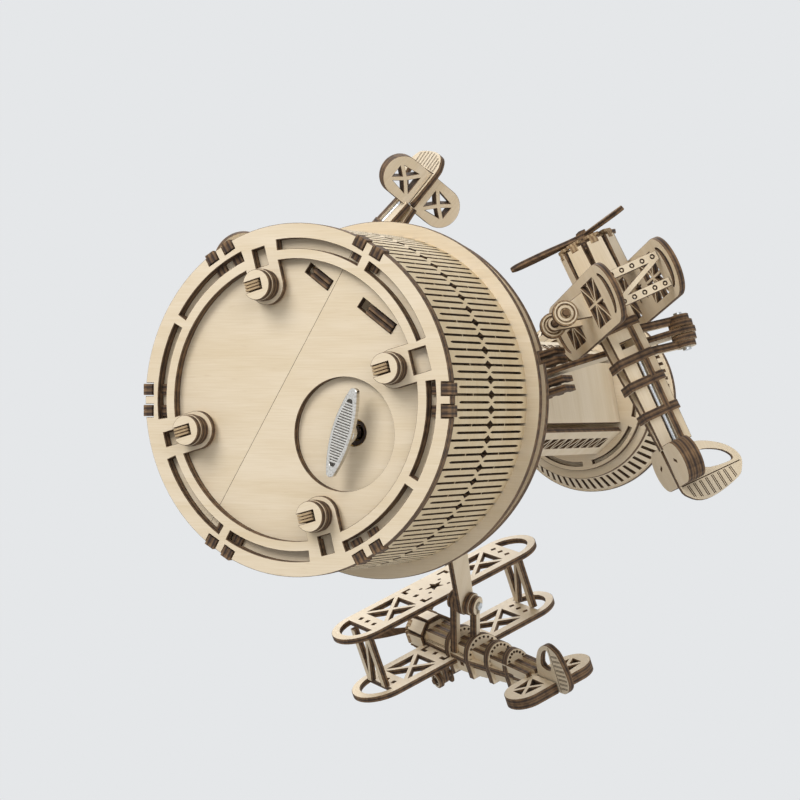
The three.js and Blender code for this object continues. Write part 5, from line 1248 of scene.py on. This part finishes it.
    def former_parts(self, model, floor_at):
        """Formers of two boards each, arched over the spine, with dots unless it is riveted."""
        body, knee = model["body"], model["ribs"][1]
        w, t, spine, tail = (body[k] for k in ("half", "tail_half", "spine", "tail"))
        rise, margin = model["rib_top"] - spine, 1.1
        parts = []
        for x in model["ribs"]:
            share = max(0.0, (knee - x) / (knee - tail))
            width = w + (t - w) * share + 1
            low = floor_at(x) - 1
            loops = [[(-width, low), (width, low)]
                     + [(y, spine + z * rise / width) for y, z in arc(width, 0, 180, 20)]]
            if not model["riveted"]:
                squash = (rise - margin) / (width - margin)
                loops += [circle(0.38, 8, y, spine + z * squash)
                          for y, z in arc(width - margin, 8, 172, 10)]
            parts += [cut_sheet(loops, FORMER_PLY, across_x(start), bevel=0.12)
                      for start in (x - 1, x - 1 + FORMER_PLY)]
        return parts

    def cowl_parts(self, model):
        """Planks round the nose with an engine head at the front of each, round a dark core."""
        nose, cowl = model["body"]["nose"], model["cowl"]
        radius, front = cowl["radius"], nose + cowl["length"]
        centre = lying(cowl["axis"])
        disc = [circle(radius - 1, 40)]
        parts = [cut_sheet(disc, PLY, centre @ across_x(nose - 1)),
                 cut_sheet(disc, PLY, centre @ across_x(front - PLY), face=1),
                 cut_sheet([circle(4.2, 30)], 1.0, centre @ across_x(front), face=1),
                 rod(radius - 2.5, nose, front - 1, 32, centre @ spun(90, "Y"), face=1)]
        half = math.pi * radius * STAVE_SHARE / COWL_STAVES
        plank = [(nose - 1, -half), (front, -half * 0.9), (front, half * 0.9), (nose - 1, half)]
        neck = rectangle(front - 1.2, front + 0.9, -1.3, 1.3)
        head = rectangle(front + 0.8, front + 1.8, -2.4, 2.4)
        for i in range(COWL_STAVES):
            turn = centre @ spun(360 * i / COWL_STAVES, "X")
            parts += [cut_sheet([plank], PLY, turn @ lying(radius - PLY)),
                      cut_sheet([neck], PLY, turn @ lying(radius - 1.8), face=3, edge=3),
                      cut_sheet([head], 2.6, turn @ lying(radius - 2.6), face=3, edge=3)]
        return parts

    def joint_parts(self, number, model, place):
        """The pin through the arm's eye, its stacks of discs, and the necks down to the body."""
        turn = place.to_3x3().inverted()
        axis = (turn @ Vector(joint(f"bank_{number}")["axis"])).normalized()
        x, z = model["pivot"]
        level = Vector((0, 0, 1))
        across = (level - level.dot(axis) * axis).normalized()
        centre = moved(x, 0, z) @ axes(axis.cross(across), across, axis)
        inner = 1 + RUN_GAP / 2
        outer = inner + 2 * PLY
        reach = (z - model["body"]["spine"]) / abs(across.z)
        parts = [rod(PIN_RADIUS, -outer - 0.9, outer + 0.9, 20, centre, face=2)]
        neck = rectangle(-NECK_PLY, NECK_PLY, -reach, 0)
        for side in (-1, 1):
            for ply, radius in enumerate((LUG_RADIUS, LUG_RADIUS - 0.7)):
                low = inner + ply * PLY if side > 0 else -inner - (ply + 1) * PLY
                parts.append(cut_sheet([circle(radius, 36), circle(PIN_RADIUS, 20)], PLY,
                                       centre @ lying(low)))
            low = outer - 2 * NECK_PLY if side > 0 else -outer
            parts += [cut_sheet([neck], NECK_PLY, centre @ lying(start), bevel=0.1)
                      for start in (low, low + NECK_PLY)]
        return parts

    def tail_parts(self, tail, fin):
        """Boards with round tips and a slot from behind for the fin, windowed or plain."""
        x, r = tail["x"], tail["chord"] / 2
        straight = tail["half_span"] - r
        slot, edge = fin["x"] + SEAT_GAP, 1 + SEAT_GAP
        outline = (arc(r, 0, 180, 24, x, straight)
                   + [(x - r, edge), (slot, edge), (slot, -edge), (x - r, -edge)]
                   + arc(r, 180, 360, 24, x, -straight))
        y0 = edge + 1.8
        if tail["windowed"]:
            reach = r - 1.9
            narrow, y1 = reach * 0.72, straight + reach * 0.72
            side = braced([(x - reach, y0), (x + reach, y0), (x + narrow, y1), (x - narrow, y1)],
                          1.5, False)
        else:
            middle = (y0 + tail["half_span"] - 2.6) / 2
            side = [turned(rectangle(-0.4, 0.4, -1.2, 1.2), 25, x + 1, middle)]
        low = tail["z"] - tail["plies"] * PLY / 2
        return stack([outline, *both_sides(side)],
                     *(low + ply * PLY for ply in range(tail["plies"])))

    def fin_parts(self, fin):
        """The fin with its opening, and pairs of grooves burnt across the rudder on both sides."""
        shares = ((0, 0), (0, 0.21), (-0.08, 0.53), (-0.25, 0.8), (-0.43, 0.95), (-0.61, 1),
                  (-0.77, 0.935), (-0.87, 0.83), (-0.97, 0.46), (-0.96, 0.2), (-0.83, 0.03),
                  (-0.63, -0.04))
        opening = ((-0.22, 0.46), (-0.33, 0.74), (-0.5, 0.88), (-0.58, 0.82), (-0.5, 0.43))

        def at(pairs):
            return [(fin["x"] + x * fin["length"], fin["z"] + z * fin["height"])
                    for x, z in pairs]

        outline = at(shares[:1]) + smoothed(at(shares), 3)[3:]
        hole = smoothed(at(opening), 4)
        hinge, width = -0.645, 0.016
        grooves = [at([(hinge, -0.01), (hinge + width, -0.01), (hinge + width, 0.955),
                       (hinge, 0.97)])]
        for z in (0.06 + 0.1 * i + step for i in range(GROOVE_PAIRS) for step in (0, 0.025)):
            end = -0.945 + 0.7 * (z - 0.4) ** 2
            grooves.append(at([(hinge - width, z), (end, z + 0.03), (end, z + 0.042),
                               (hinge - width, z + 0.012)]))
        core, loops = PLY - 2 * GROOVE_DEPTH, [outline, hole, *grooves]
        return [cut_sheet([outline, hole], core, across_y(-core / 2, core), bevel=0.05, face=1),
                cut_sheet(loops, GROOVE_DEPTH, across_y(-1, GROOVE_DEPTH), bevel=0.02),
                cut_sheet(loops, GROOVE_DEPTH, across_y(core / 2, GROOVE_DEPTH), bevel=0.02)]

    def propeller_parts(self, model, start):
        """A hub and thin boards as blades, each a little twisted."""
        body, cowl, tip = model["body"], model["cowl"], PROPELLER_RADIUS
        x = body["nose"] + cowl["length"] + SEAT_GAP + PROPELLER_SHAFT
        centre = moved(x, 0, cowl["axis"])
        half = [(0.8, 0.0), (0.9, 0.2 * tip), (1.5, 0.55 * tip), (1.4, 0.88 * tip),
                (0.7, 0.985 * tip)]
        blade = smoothed([(-y, z) for y, z in half] + [(0, tip)] + half[::-1], 3)
        parts = [rod(2.6, -PROPELLER_SHAFT, PROPELLER_PLY, 24, centre @ spun(90, "Y"), face=1),
                 cut_sheet([rectangle(-1.9, 1.9, -1.2, 1.2)], 1.0,
                           centre @ across_x(PROPELLER_PLY), face=1)]
        twist = moved(PROPELLER_PLY / 2) @ spun(PROPELLER_TWIST) @ moved(-PROPELLER_PLY / 2)
        for number in range(PROPELLER_BLADES):
            turn = spun(math.degrees(start) + 360 * number / PROPELLER_BLADES, "X")
            parts.append(cut_sheet([blade], PROPELLER_PLY, centre @ turn @ twist @ across_x(0),
                                   bevel=0.2, face=1))
        return parts

    def wheel_parts(self, wheels):
        """Discs with a rim, a brown groove and a hub, on a dark axle."""
        radius, track, width = wheels["radius"], wheels["track"], wheels["width"]
        centre = moved(wheels["x"], 0, wheels["z"]) @ spun(-90, "X")
        parts = [rod(1.0, -track - width, track + width, 20, centre, face=1)]
        hub = radius * 0.45
        rings = ((radius, radius - 0.5, 0.1, 2), (radius - 0.4, radius - 1.1, 0.0, 0),
                 (radius - 1.0, radius - 1.6, 0.5, 2), (radius - 1.5, hub - 0.2, 0.2, 0),
                 (hub, 1.0, 0.4, 2))
        for low in (-track - width / 2, track - width / 2):
            for outer, inner, inset, face in rings:
                parts.append(cut_sheet([circle(outer, 40), circle(inner, 30)], width - 2 * inset,
                                       centre @ lying(low + inset), bevel=0.1, face=face))
        return parts


class MUSICBOX_PT_panel(bpy.types.Panel):
    """Lists the colours, the sizes, the stage and the pieces"""
    bl_idname = "MUSICBOX_PT_panel"
    bl_label = "Plywood Music Box"
    bl_space_type = "VIEW_3D"
    bl_region_type = "UI"
    bl_category = "Music Box"

    def draw(self, context):
        layout = self.layout
        for name in GROUPS:
            group = getattr(context.scene, name)
            box = layout.box()
            for key in group.bl_rna.properties.keys():
                if key not in ("rna_type", "name"):
                    box.prop(group, key)
        for operator in OPERATORS:
            layout.operator(operator.bl_idname)


GROUPS = {
    "music_box_colours": MusicBoxColours,
    "music_box_sizes": MusicBoxSizes,
    "music_box_stage": MusicBoxStage,
}
OPERATORS = (
    MUSICBOX_OT_stage,
    MUSICBOX_OT_base,
    MUSICBOX_OT_drum,
    MUSICBOX_OT_movement,
    MUSICBOX_OT_tower,
    MUSICBOX_OT_carousel,
    MUSICBOX_OT_planes,
)
CLASSES = (*GROUPS.values(), *OPERATORS, MUSICBOX_PT_panel)


def register():
    for cls in CLASSES:
        bpy.utils.register_class(cls)
    for name, group in GROUPS.items():
        setattr(bpy.types.Scene, name, bpy.props.PointerProperty(type=group))


def unregister():
    for name in GROUPS:
        delattr(bpy.types.Scene, name)
    for cls in reversed(CLASSES):
        bpy.utils.unregister_class(cls)


def main():
    register()
    for operator in OPERATORS:
        group, name = operator.bl_idname.split(".")
        getattr(getattr(bpy.ops, group), name)()


if __name__ == "__main__":
    main()
